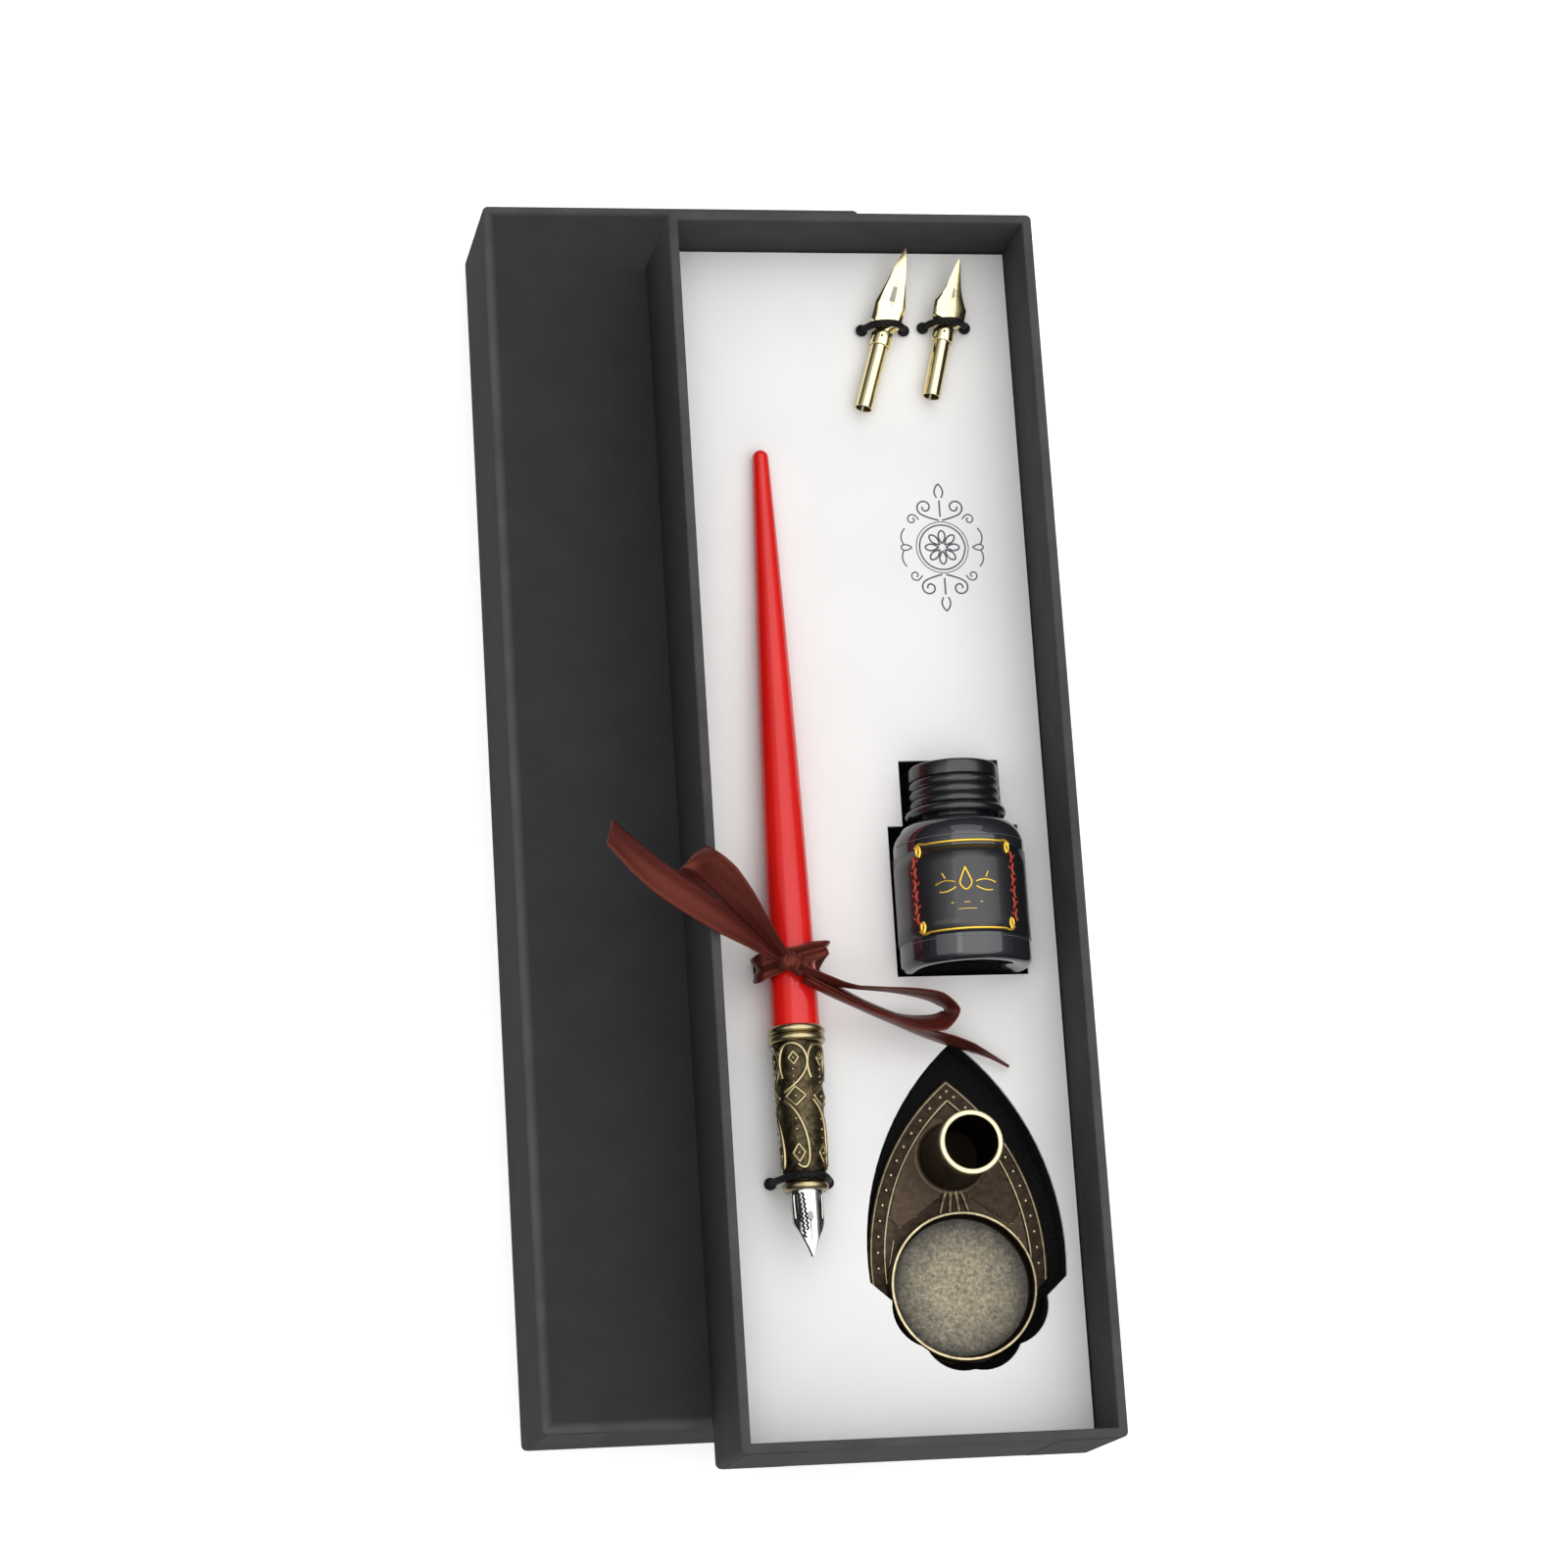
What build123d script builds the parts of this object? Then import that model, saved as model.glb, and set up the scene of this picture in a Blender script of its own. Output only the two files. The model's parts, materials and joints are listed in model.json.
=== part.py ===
from build123d import *
from math import asin, cos, degrees, radians, sin, sqrt
import os

# A dip pen, two spare nibs, a bottle of ink and a metal pen stand in a two-piece gift box.
# The lid lies outer face up, and the open tray lies on it, set over to one side.
# Origin: on the table, under the middle of the box halves. Z is up, Y runs along the pen.

# Box: greyboard covered with black paper
board = 1.6
paper = 0.2
box_corner = 1.2
box_edge = 0.8
tray_width = 81.0
tray_length = 268.0
tray_height = 32.0
lid_gap = 0.5
lid_show = 36.0
lid_up = 13.5

# Insert: a white card on black foam
insert_gap = 0.3
card = 0.8
card_face = 13.6
foam_under_bottle = 0.8
foam_under_stand = 4.4
rest_gap = 0.15
hole_gap = 0.05

# Pen, along its own axis from the top of the grip's flange
pen_x = -21.4
pen_flange_y = -44.5
pen_yaw = 0.5
handle_length = 129.5
handle_end_radius = 1.75
handle_middle = 67.0
handle_middle_radius = 3.95
handle_radius = 5.15
tenon_radius = 3.4
tenon_length = 9.0
flange_radius = 6.1
flange_length = 3.6
grip_top_radius = 5.1
grip_low_radius = 4.6
grip_length = 35.0
neck_radius = 4.15
neck_start = 31.0
neck_length = 2.1
ring_radius = 4.85
sleeve_radius = 3.95
sleeve_wall = 0.4
sleeve_length = 18.0
nib_radius = 3.5
nib_wall = 0.3
nib_length = 30.0
nib_reach = 14.2
nib_shoulder = 7.6
nib_slit = 0.35
fit_gap = 0.05

# Elastic loops
elastic = 1.3
pen_elastic_half = 6.0

# Satin ribbon tied round the pen and through the card
ribbon_width = 6.4
ribbon_thick = 0.3
ribbon_at = 14.5
wrap_width = 4.6
wrap_thick = 0.5
wrap_gap = 0.3
wrap_foot = 6.9
knot_length = 7.0
knot_width = 5.6
knot_height = 3.6
knot_shift = (-1.2, -1.8)

# Spare nibs, each along its own axis from the end of its shank
shank_radius = 2.15
shank_wall = 0.3
shank_seam = 0.5
collar_radius = 2.45
left_nib_foot = (3.4, 94.4)
left_nib_angle = 17.5
left_nib_length = 38.6
left_nib_blade = 20.0
left_nib_half = 3.1
right_nib_foot = (18.9, 97.2)
right_nib_angle = 14.6
right_nib_length = 32.6
right_nib_blade = 16.0
right_nib_half = 3.6
blade_radius = 3.9
collar_length = 3.4
nib_elastic_half = 4.6
nib_elastic_at = 19.7
right_nib_elastic_at = 17.2

# Ink bottle, lying with its cap towards the top of the tray
bottle_x = 17.2
bottle_foot_y = -32.4
bottle_radius = 14.1
bottle_wall = 1.5
bottle_floor = 2.5
bottle_side = 26.5
bottle_shoulder = 6.0
neck_outer = 8.5
bottle_neck = 10.5
heel = 1.4
ink_gap = 0.05
label_from = 5.6
label_to = 24.6
label_thick = 0.12
cap_radius = 9.7
cap_clear = 0.5
cap_wall = 0.9
cap_gap = 0.3
cap_thread = 0.45
cap_ridges = 3
cap_bead_radius = 10.9
cap_bead = 2.2
cap_band = 3.2
liner = 0.8
cut_gap = 0.3
cap_room = 2.6

# Pen and ink stand
stand_x = 12.9
stand_y = -99.0
plate = 1.8
plate_half = 19.1
plate_apex = 44.6
plate_tail = 15.6
plate_border = 3.6
plate_rim = 0.4
shoulder_y = 1.2
dish_radius = 15.9
dish_wall = 0.7
dish_floor = 1.0
dish_height = 4.4
tube_radius = 6.85
tube_bore = 5.7
tube_height = 20.0
tube_at = 28.0

# Opening in the card for the stand, from the dish's centre
opening_x = 13.6
opening_half = 21.3
opening_apex = 52.1
opening_tail = 17.8
dish_gap = 0.4

# Worked-out places
lid_wall = board + paper
tray_wall = board + 2 * paper
lid_width = tray_width + 2 * lid_gap + 2 * lid_wall
lid_length = tray_length + 2 * lid_gap + 2 * lid_wall
lid_height = tray_height + lid_wall
both_width = lid_show + tray_width
both_length = tray_length + lid_up
lid_x = lid_width / 2 - both_width / 2
lid_y = both_length / 2 - lid_length / 2
tray_x = both_width / 2 - tray_width / 2
tray_y = tray_length / 2 - both_length / 2
tray_z = lid_height
tray_floor = paper + board
bottle_z = tray_floor + foam_under_bottle + rest_gap + bottle_radius
stand_z = tray_floor + foam_under_stand
shoulder_end = bottle_side + bottle_shoulder
bottle_height = shoulder_end + bottle_neck
cap_foot = shoulder_end + cap_clear


def tray_plane(height):
    """The plane across the tray at a height above its outer back face."""
    return Plane((tray_x, tray_y, tray_z + height))


def box_form(plane, width, length, height, corner, edge, end):
    """A box with rounded upright edges and its top (end -1) or bottom (end 0) edges rounded."""
    with BuildPart() as form:
        with BuildSketch(plane):
            RectangleRounded(width, length, corner)
        extrude(amount=height)
        fillet(form.faces().sort_by(Axis.Z)[end].edges(), edge)
    return form.part


os.makedirs("parts", exist_ok=True)

# Lid: the wrapping paper over the board
lid_plane = Plane((lid_x, lid_y, 0))
lid_board_form = box_form(
    lid_plane,
    lid_width - 2 * paper,
    lid_length - 2 * paper,
    lid_height - paper,
    box_corner - paper,
    box_edge - paper,
    -1,
)

with BuildPart() as lid_wrap:
    add(box_form(lid_plane, lid_width, lid_length, lid_height, box_corner, box_edge, -1))
    add(lid_board_form, mode=Mode.SUBTRACT)
lid_wrap.part.label = "lid_wrap"

with BuildPart() as lid_board:
    add(lid_board_form)
    with BuildSketch(lid_plane):
        Rectangle(lid_width - 2 * lid_wall, lid_length - 2 * lid_wall)
    extrude(amount=lid_height - lid_wall, mode=Mode.SUBTRACT)
lid_board.part.label = "lid_board"

# Tray: the paper also turns in over the rim and down the inside
tray_board_form = box_form(
    tray_plane(paper),
    tray_width - 2 * paper,
    tray_length - 2 * paper,
    tray_height - 2 * paper,
    box_corner - paper,
    box_edge - paper,
    0,
)

with BuildPart() as tray_board:
    add(tray_board_form)
    with BuildSketch(tray_plane(tray_floor)):
        Rectangle(tray_width - 2 * lid_wall, tray_length - 2 * lid_wall)
    extrude(amount=tray_height, mode=Mode.SUBTRACT)
tray_board.part.label = "tray_board"

inner_width = tray_width - 2 * tray_wall
inner_length = tray_length - 2 * tray_wall

with BuildPart() as tray_wrap:
    add(box_form(tray_plane(0), tray_width, tray_length, tray_height, box_corner, box_edge, 0))
    add(tray_board.part, mode=Mode.SUBTRACT)
    with BuildSketch(tray_plane(tray_floor)):
        Rectangle(inner_width, inner_length)
    extrude(amount=tray_height, mode=Mode.SUBTRACT)
tray_wrap.part.label = "tray_wrap"

# The pen's own line: it rests on its flange and on the rounded end of its handle
pen_tilt = degrees(asin((flange_radius - handle_end_radius) / (handle_length - handle_end_radius)))
pen_height = card_face + flange_radius + rest_gap
pen_origin = Vector(tray_x + pen_x, tray_y + pen_flange_y, tray_z + pen_height)
pen_axis = Vector(
    -sin(radians(pen_yaw)) * cos(radians(pen_tilt)),
    -cos(radians(pen_yaw)) * cos(radians(pen_tilt)),
    sin(radians(pen_tilt)),
)
pen_side = Vector(cos(radians(pen_yaw)), -sin(radians(pen_yaw)), 0)
pen_line = Axis(pen_origin, pen_axis)
pen_section = Plane(pen_origin, x_dir=pen_axis, z_dir=pen_side)


def pen_cross(along):
    """The plane square to the pen at a distance from the flange: x to its side, y up."""
    return Plane(pen_origin + pen_axis * along, x_dir=pen_side, z_dir=pen_axis)


def handle_radius_at(back):
    """The handle's radius at a distance behind the flange, near the grip."""
    share = back / (handle_length - handle_middle)
    return handle_radius + (handle_middle_radius - handle_radius) * share


with BuildPart() as pen_handle:
    with BuildSketch(pen_section):
        with BuildLine():
            end = handle_length - handle_end_radius
            diagonal = handle_end_radius / sqrt(2)
            Line((tenon_length, 0), (-handle_length, 0))
            ThreePointArc(
                (-handle_length, 0), (-end - diagonal, diagonal), (-end, handle_end_radius)
            )
            ThreePointArc(
                (-end, handle_end_radius),
                (handle_middle - handle_length, handle_middle_radius),
                (0, handle_radius),
            )
            Line((0, handle_radius), (0, tenon_radius))
            Line((0, tenon_radius), (tenon_length, tenon_radius))
            Line((tenon_length, tenon_radius), (tenon_length, 0))
        make_face()
    revolve(axis=pen_line)
pen_handle.part.label = "pen_handle"

flange_bead = flange_length / 4
neck_end = neck_start + neck_length
sleeve_start = grip_length - sleeve_length
grip_floor = tenon_length + fit_gap

with BuildPart() as pen_grip:
    with BuildSketch(pen_section):
        with BuildLine():
            Line((0, tenon_radius + fit_gap), (0, flange_radius - flange_bead))
            ThreePointArc(
                (0, flange_radius - flange_bead),
                (flange_bead, flange_radius),
                (2 * flange_bead, flange_radius - flange_bead),
            )
            ThreePointArc(
                (2 * flange_bead, flange_radius - flange_bead),
                (3 * flange_bead, flange_radius),
                (4 * flange_bead, flange_radius - flange_bead),
            )
            Line((flange_length, flange_radius - flange_bead), (flange_length, grip_top_radius))
            ThreePointArc(
                (flange_length, grip_top_radius),
                (
                    (flange_length + neck_start) / 2,
                    (grip_top_radius + grip_low_radius) / 2 + flange_bead / 9,
                ),
                (neck_start, grip_low_radius),
            )
            Line((neck_start, grip_low_radius), (neck_start, neck_radius))
            Line((neck_start, neck_radius), (neck_end, neck_radius))
            ThreePointArc(
                (neck_end, neck_radius),
                ((neck_end + grip_length) / 2, ring_radius),
                (grip_length, neck_radius),
            )
            Line((grip_length, neck_radius), (grip_length, sleeve_radius + fit_gap))
            Line((grip_length, sleeve_radius + fit_gap), (sleeve_start, sleeve_radius + fit_gap))
            Line((sleeve_start, sleeve_radius + fit_gap), (sleeve_start, 0))
            Line((sleeve_start, 0), (grip_floor, 0))
            Line((grip_floor, 0), (grip_floor, tenon_radius + fit_gap))
            Line((grip_floor, tenon_radius + fit_gap), (0, tenon_radius + fit_gap))
        make_face()
    revolve(axis=pen_line)
pen_grip.part.label = "pen_grip"

# The spring sleeve is a rolled tube with a seam underneath
sleeve_end = grip_length - fit_gap
with BuildPart() as nib_sleeve:
    with BuildSketch(pen_cross(sleeve_start + fit_gap)):
        Circle(sleeve_radius)
        Circle(nib_radius + fit_gap, mode=Mode.SUBTRACT)
    extrude(amount=sleeve_end - sleeve_start - fit_gap)
    with BuildSketch(pen_cross(sleeve_start)):
        with Locations((0, -sleeve_radius)):
            Rectangle(shank_seam, 2 * sleeve_wall + shank_seam)
    extrude(amount=sleeve_length, mode=Mode.SUBTRACT)
nib_sleeve.part.label = "nib_sleeve"

# The nib is a curved leaf: a rolled shank in the sleeve, then shoulders and two tines
nib_tip = grip_length + nib_reach
nib_foot = nib_tip - nib_length
shoulder = grip_length + nib_shoulder
nib_top = Plane(pen_origin, x_dir=pen_side, z_dir=pen_side.cross(pen_axis))

with BuildPart() as pen_nib:
    with BuildSketch(pen_cross(nib_foot)):
        Circle(nib_radius)
        Circle(nib_radius - nib_wall, mode=Mode.SUBTRACT)
        with Locations((0, -nib_radius)):
            Rectangle(4 * nib_radius, 2 * nib_radius, mode=Mode.SUBTRACT)
    extrude(amount=nib_length)
    with BuildSketch(nib_top):
        with BuildLine():
            tine = nib_slit
            Line((-2 * nib_radius, nib_foot), (2 * nib_radius, nib_foot))
            Line((2 * nib_radius, nib_foot), (2 * nib_radius, shoulder))
            Line((2 * nib_radius, shoulder), (nib_radius, shoulder))
            ThreePointArc(
                (nib_radius, shoulder), (nib_radius / 2, nib_tip - 3.2), (tine, nib_tip)
            )
            Line((tine, nib_tip), (-tine, nib_tip))
            ThreePointArc(
                (-tine, nib_tip), (-nib_radius / 2, nib_tip - 3.2), (-nib_radius, shoulder)
            )
            Line((-nib_radius, shoulder), (-2 * nib_radius, shoulder))
            Line((-2 * nib_radius, shoulder), (-2 * nib_radius, nib_foot))
        make_face()
    extrude(amount=2 * nib_radius, both=True, mode=Mode.INTERSECT)
pen_nib.part.label = "pen_nib"


def arch_path(plane, half, crown, below):
    """The line of an elastic loop: up through the card, over, and down again."""
    with BuildLine(plane) as path:
        Line((-half, -below), (-half, 0))
        rise = crown - half if crown > half else 0
        if rise > 0:
            Line((-half, 0), (-half, rise))
        ThreePointArc((-half, rise), (0, crown), (half, rise))
        if rise > 0:
            Line((half, rise), (half, 0))
        Line((half, 0), (half, -below))
    return path


# Elastic loop over the neck of the grip
elastic_at = neck_start + neck_length / 2
elastic_centre = pen_origin + pen_axis * elastic_at
pen_elastic_crown = elastic_centre.Z - tray_z - card_face + neck_radius + elastic / 2 + rest_gap
pen_elastic_plane = Plane(
    (elastic_centre.X, elastic_centre.Y, tray_z + card_face),
    x_dir=pen_side,
    z_dir=Vector(pen_side.Y, -pen_side.X, 0),
)


def elastic_loop(name, plane, half, crown):
    """A round elastic cord arched over what it holds, its ends in the card."""
    path = arch_path(plane, half, crown, card)
    foot = plane.from_local_coords((-half, -card, 0))
    with BuildPart() as loop:
        with BuildSketch(Plane(foot)):
            Circle(elastic / 2)
        sweep(path=path.line)
    loop.part.label = name
    export_step(loop.part, "parts/" + name + ".step")
    return loop.part


elastic_loop("pen_elastic", pen_elastic_plane, pen_elastic_half, pen_elastic_crown)


def nib_line(foot, angle, along):
    """The point on a spare nib's axis at a distance from its foot, in the tray's own plane."""
    return (foot[0] + along * sin(radians(angle)), foot[1] + along * cos(radians(angle)))


def spare_nib(name, foot, angle, length, blade, half):
    """A nib on its rolled shank, lying on the card: shank, collar and pointed blade."""
    height = card_face + collar_radius + rest_gap
    origin = Vector(tray_x + foot[0], tray_y + foot[1], tray_z + height)
    along = Vector(sin(radians(angle)), cos(radians(angle)), 0)
    across = Vector(cos(radians(angle)), -sin(radians(angle)), 0)

    def cross(distance):
        return Plane(origin + along * distance, x_dir=across * -1, z_dir=along)

    top = Plane(origin, x_dir=across, z_dir=(0, 0, 1))
    start = length - blade
    crown = shank_radius - shank_wall / 6
    widest = start + blade * 0.3
    root = shank_radius - shank_wall
    with BuildPart() as leaf:
        with BuildSketch(cross(start)):
            with Locations((0, crown - blade_radius)):
                Circle(blade_radius)
                Circle(blade_radius - shank_wall, mode=Mode.SUBTRACT)
            with Locations((0, -2 * blade_radius)):
                Rectangle(4 * blade_radius, 4 * blade_radius - shank_radius, mode=Mode.SUBTRACT)
        extrude(amount=blade)
        with BuildSketch(top):
            with BuildLine():
                Line((0, start - 1), (root, start - 1))
                Line((root, start - 1), (root, start))
                ThreePointArc((root, start), (half * 0.94, start + blade * 0.14), (half, widest))
                ThreePointArc(
                    (half, widest), (half * 0.46, start + blade * 0.66), (shank_wall, length)
                )
                Line((shank_wall, length), (0, length))
                mirror(about=Plane.YZ)
            make_face()
        extrude(amount=2 * blade_radius, both=True, mode=Mode.INTERSECT)
    with BuildPart() as nib:
        with BuildSketch(cross(0)):
            Circle(shank_radius)
            Circle(root, mode=Mode.SUBTRACT)
        extrude(amount=start)
        with BuildSketch(cross(start - collar_length)):
            Circle(collar_radius)
            Circle(root, mode=Mode.SUBTRACT)
        extrude(amount=collar_length + 2 * shank_wall)
        with BuildSketch(cross(-shank_wall)):
            with Locations((0, -shank_radius)):
                Rectangle(shank_seam, shank_radius)
        extrude(amount=start + 4 * shank_wall, mode=Mode.SUBTRACT)
        add(leaf.part)
    nib.part.label = name
    export_step(nib.part, "parts/" + name + ".step")
    return nib.part


spare_nib(
    "spare_nib_left",
    left_nib_foot,
    left_nib_angle,
    left_nib_length,
    left_nib_blade,
    left_nib_half,
)
spare_nib(
    "spare_nib_right",
    right_nib_foot,
    right_nib_angle,
    right_nib_length,
    right_nib_blade,
    right_nib_half,
)


def nib_elastic_plane(foot, angle, along):
    """The upright plane across the tray where an elastic crosses a spare nib."""
    x, y = nib_line(foot, angle, along)
    return Plane((tray_x + x, tray_y + y, tray_z + card_face), x_dir=(1, 0, 0), z_dir=(0, -1, 0))


nib_elastic_crown = 2 * collar_radius + 2 * rest_gap + elastic / 2
left_elastic_plane = nib_elastic_plane(left_nib_foot, left_nib_angle, nib_elastic_at)
right_elastic_plane = nib_elastic_plane(right_nib_foot, right_nib_angle, right_nib_elastic_at)
elastic_loop("nib_elastic_left", left_elastic_plane, nib_elastic_half, nib_elastic_crown)
elastic_loop("nib_elastic_right", right_elastic_plane, nib_elastic_half, nib_elastic_crown)

# Ribbon: a band over the handle, down to two slits in the card
wrap_inside = handle_radius_at(ribbon_at) + wrap_gap + wrap_thick / 2
wrap_centre = pen_origin + pen_axis * -ribbon_at
wrap_height = wrap_centre.Z - tray_z - card_face
wrap_plane = Plane(
    (wrap_centre.X, wrap_centre.Y, tray_z + card_face),
    x_dir=pen_side,
    z_dir=Vector(pen_side.Y, -pen_side.X, 0),
)
with BuildPart() as ribbon_wrap:
    with BuildSketch(wrap_plane):
        with BuildLine():
            Line((-wrap_foot, -card), (-wrap_foot, 0))
            Line((-wrap_foot, 0), (-wrap_inside, wrap_height))
            ThreePointArc(
                (-wrap_inside, wrap_height),
                (0, wrap_height + wrap_inside),
                (wrap_inside, wrap_height),
            )
            Line((wrap_inside, wrap_height), (wrap_foot, 0))
            Line((wrap_foot, 0), (wrap_foot, -card))
        trace(line_width=wrap_thick)
    extrude(amount=wrap_width / 2, both=True)
ribbon_wrap.part.label = "ribbon_wrap"

knot_base = wrap_height + wrap_inside + wrap_thick / 2
knot_centre = Vector(
    wrap_centre.X + knot_shift[0],
    wrap_centre.Y + knot_shift[1],
    tray_z + card_face + knot_base + knot_height / 2,
)
with BuildPart() as ribbon_knot:
    with BuildSketch(Plane(knot_centre - Vector(0, 0, knot_height / 2), x_dir=(0.86, -0.5, 0))):
        RectangleRounded(knot_length, knot_width, knot_width / 3)
    extrude(amount=knot_height)
    fillet(ribbon_knot.faces().sort_by(Axis.Z)[-1].edges(), knot_height / 3)
ribbon_knot.part.label = "ribbon_knot"

# Free ribbon. Each length has a frame at the knot: where it starts from the knot's middle, the way
# it runs and the way across it. Its stations give the distance along the frame, the distance out
# of it, the lean of the ribbon in degrees and its width as a share, narrow where it is bunched.
ribbon_lengths = {
    "ribbon_tail_left": (
        (-3.3, -0.4, -1.5),
        (-0.745, 0.595, 0.300),
        (0.610, 0.790, 0.060),
        [
            (0.0, 0.0, 8, 0.55),
            (8.0, 2.0, 5, 0.95),
            (17.0, 3.2, 0, 1.0),
            (26.0, 3.2, -4, 1.0),
            (35.0, 2.2, -6, 1.0),
            (43.0, 0.6, -4, 1.0),
            (48.0, -0.8, 0, 0.85),
        ],
    ),
    "ribbon_loop_left": (
        (-1.0, 1.6, 1.0),
        (-0.600, 0.715, 0.360),
        (0.760, 0.650, 0.000),
        [
            (0.8, 0.5, 0, 0.5),
            (7.0, 2.0, -6, 0.9),
            (14.0, 3.0, -10, 1.0),
            (20.5, 2.8, -8, 1.0),
            (24.6, 1.5, -4, 1.0),
            (25.8, -0.4, 0, 1.0),
            (24.0, -2.0, 6, 1.0),
            (17.5, -2.8, 12, 1.0),
            (9.0, -2.2, 12, 0.9),
            (1.6, -0.9, 6, 0.5),
        ],
    ),
    "ribbon_loop_right": (
        (2.6, -0.8, 0.4),
        (0.954, -0.235, -0.186),
        (0.100, 0.220, 0.970),
        [
            (0.6, 0.5, 10, 0.5),
            (8.0, 1.3, 6, 0.9),
            (17.0, 2.1, 0, 1.0),
            (26.0, 2.6, 0, 1.0),
            (32.4, 1.8, 8, 1.0),
            (35.0, -0.8, 20, 1.0),
            (33.4, -3.4, 34, 1.0),
            (26.5, -4.2, 48, 1.0),
            (15.5, -3.2, 40, 0.85),
            (2.4, -0.9, 20, 0.5),
        ],
    ),
    "ribbon_tail_right": (
        (2.0, -2.6, -1.0),
        (0.890, -0.410, -0.216),
        (0.200, 0.620, 0.760),
        [
            (0.0, 0.0, 10, 0.5),
            (9.0, 0.2, 14, 0.8),
            (19.0, -0.3, 22, 0.9),
            (29.0, -0.6, 26, 0.95),
            (37.0, 0.6, 20, 0.95),
            (45.0, 0.2, 14, 0.9),
            (51.5, -1.2, 10, 0.5),
        ],
    ),
}


def ribbon_band(name, start, along, across, stations):
    """A flat ribbon in short straight lengths between its stations."""
    along = Vector(along).normalized()
    across = Vector(across)
    across = (across - along * across.dot(along)).normalized()
    out = across.cross(along)
    first = knot_centre + Vector(start)
    points = [first + along * far + out * off for far, off, lean, share in stations]
    last = len(stations) - 1
    sections = []
    for i, (far, off, lean, share) in enumerate(stations):
        tangent = (points[min(i + 1, last)] - points[max(i - 1, 0)]).normalized()
        side = across * cos(radians(lean)) + out * sin(radians(lean))
        side = side - tangent * side.dot(tangent)
        with BuildSketch(Plane(points[i], x_dir=side, z_dir=tangent)) as section:
            Rectangle(ribbon_width * share, ribbon_thick)
        sections.append(section.sketch.face())
    with BuildPart() as band:
        for near, next_one in zip(sections, sections[1:]):
            loft([near, next_one], ruled=True)
    band.part.label = name
    export_step(band.part, "parts/" + name + ".step")
    return band.part


for name, (start, along, across, stations) in ribbon_lengths.items():
    ribbon_band(name, start, along, across, stations)

# Ink bottle: turned profiles about its axis, measured from its foot
bottle_origin = Vector(tray_x + bottle_x, tray_y + bottle_foot_y, tray_z + bottle_z)
bottle_line = Axis(bottle_origin, (0, 1, 0))
bottle_section = Plane(bottle_origin, x_dir=(0, 1, 0), z_dir=(0, 0, 1))
round_middle = 1 / sqrt(2)


def bottle_profile(inset, foot, top):
    """Half of the bottle's outline drawn in by inset, as corners and shoulder arc."""
    radius = bottle_radius - inset
    neck = neck_outer - inset
    turn = bottle_shoulder - inset if inset < bottle_shoulder else bottle_shoulder
    flat = radius - turn
    with BuildSketch(bottle_section) as half:
        with BuildLine():
            Line((foot, 0), (foot, radius))
            Line((foot, radius), (bottle_side, radius))
            ThreePointArc(
                (bottle_side, radius),
                (bottle_side + turn * round_middle, flat + turn * round_middle),
                (bottle_side + turn, flat),
            )
            Line((bottle_side + turn, flat), (bottle_side + turn, neck))
            Line((bottle_side + turn, neck), (top, neck))
            Line((top, neck), (top, 0))
            Line((top, 0), (foot, 0))
        make_face()
    return half.sketch


with BuildPart() as bottle_ink:
    add(bottle_profile(bottle_wall + ink_gap, bottle_floor + ink_gap, shoulder_end + heel))
    revolve(axis=bottle_line)
bottle_ink.part.label = "bottle_ink"

with BuildPart() as bottle_glass:
    add(bottle_profile(0, 0, bottle_height))
    revolve(axis=bottle_line)
    foot_edge = bottle_glass.faces().sort_by(Axis.Y)[0].edges()
    fillet(foot_edge, heel)
    add(bottle_profile(bottle_wall, bottle_floor, bottle_height))
    revolve(axis=bottle_line, mode=Mode.SUBTRACT)
bottle_glass.part.label = "bottle_glass"

# Label: a paper sleeve most of the way round, its middle towards the open side of the tray
with BuildPart() as bottle_label:
    with BuildSketch(Plane(bottle_section.from_local_coords((label_from, 0)), z_dir=(0, 1, 0))):
        Circle(bottle_radius + label_thick)
        Circle(bottle_radius, mode=Mode.SUBTRACT)
    extrude(amount=label_to - label_from)
bottle_label.part.label = "bottle_label"

cap_inside = neck_outer + cap_gap
cap_top = bottle_height + liner + cap_wall
cap_shell = cap_radius - cap_thread
cap_ridge_pitch = (cap_top - cap_band - cap_foot - cap_bead) / cap_ridges
with BuildPart() as bottle_cap:
    with BuildSketch(bottle_section):
        with BuildLine():
            bead_end = cap_foot + cap_bead
            bead_middle = cap_foot + cap_bead / 2
            Line((cap_foot, cap_inside), (cap_foot, cap_radius))
            ThreePointArc(
                (cap_foot, cap_radius), (bead_middle, cap_bead_radius), (bead_end, cap_radius)
            )
            Line((bead_end, cap_radius), (bead_end, cap_shell))
            here = bead_end
            for ridge in range(cap_ridges):
                there = here + cap_ridge_pitch
                middle = (here + there) / 2
                ThreePointArc((here, cap_shell), (middle, cap_radius), (there, cap_shell))
                here = there
            Line((here, cap_shell), (here, cap_radius))
            Line((here, cap_radius), (cap_top - cap_thread, cap_radius))
            Line((cap_top - cap_thread, cap_radius), (cap_top, cap_shell))
            Line((cap_top, cap_shell), (cap_top, 0))
            Line((cap_top, 0), (cap_top - cap_wall, 0))
            Line((cap_top - cap_wall, 0), (cap_top - cap_wall, cap_inside))
            Line((cap_top - cap_wall, cap_inside), (cap_foot, cap_inside))
        make_face()
    revolve(axis=bottle_line)
bottle_cap.part.label = "bottle_cap"

with BuildPart() as cap_liner:
    with BuildSketch(Plane(bottle_section.from_local_coords((bottle_height, 0)), z_dir=(0, 1, 0))):
        Circle(neck_outer)
    extrude(amount=liner)
cap_liner.part.label = "cap_liner"


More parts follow.
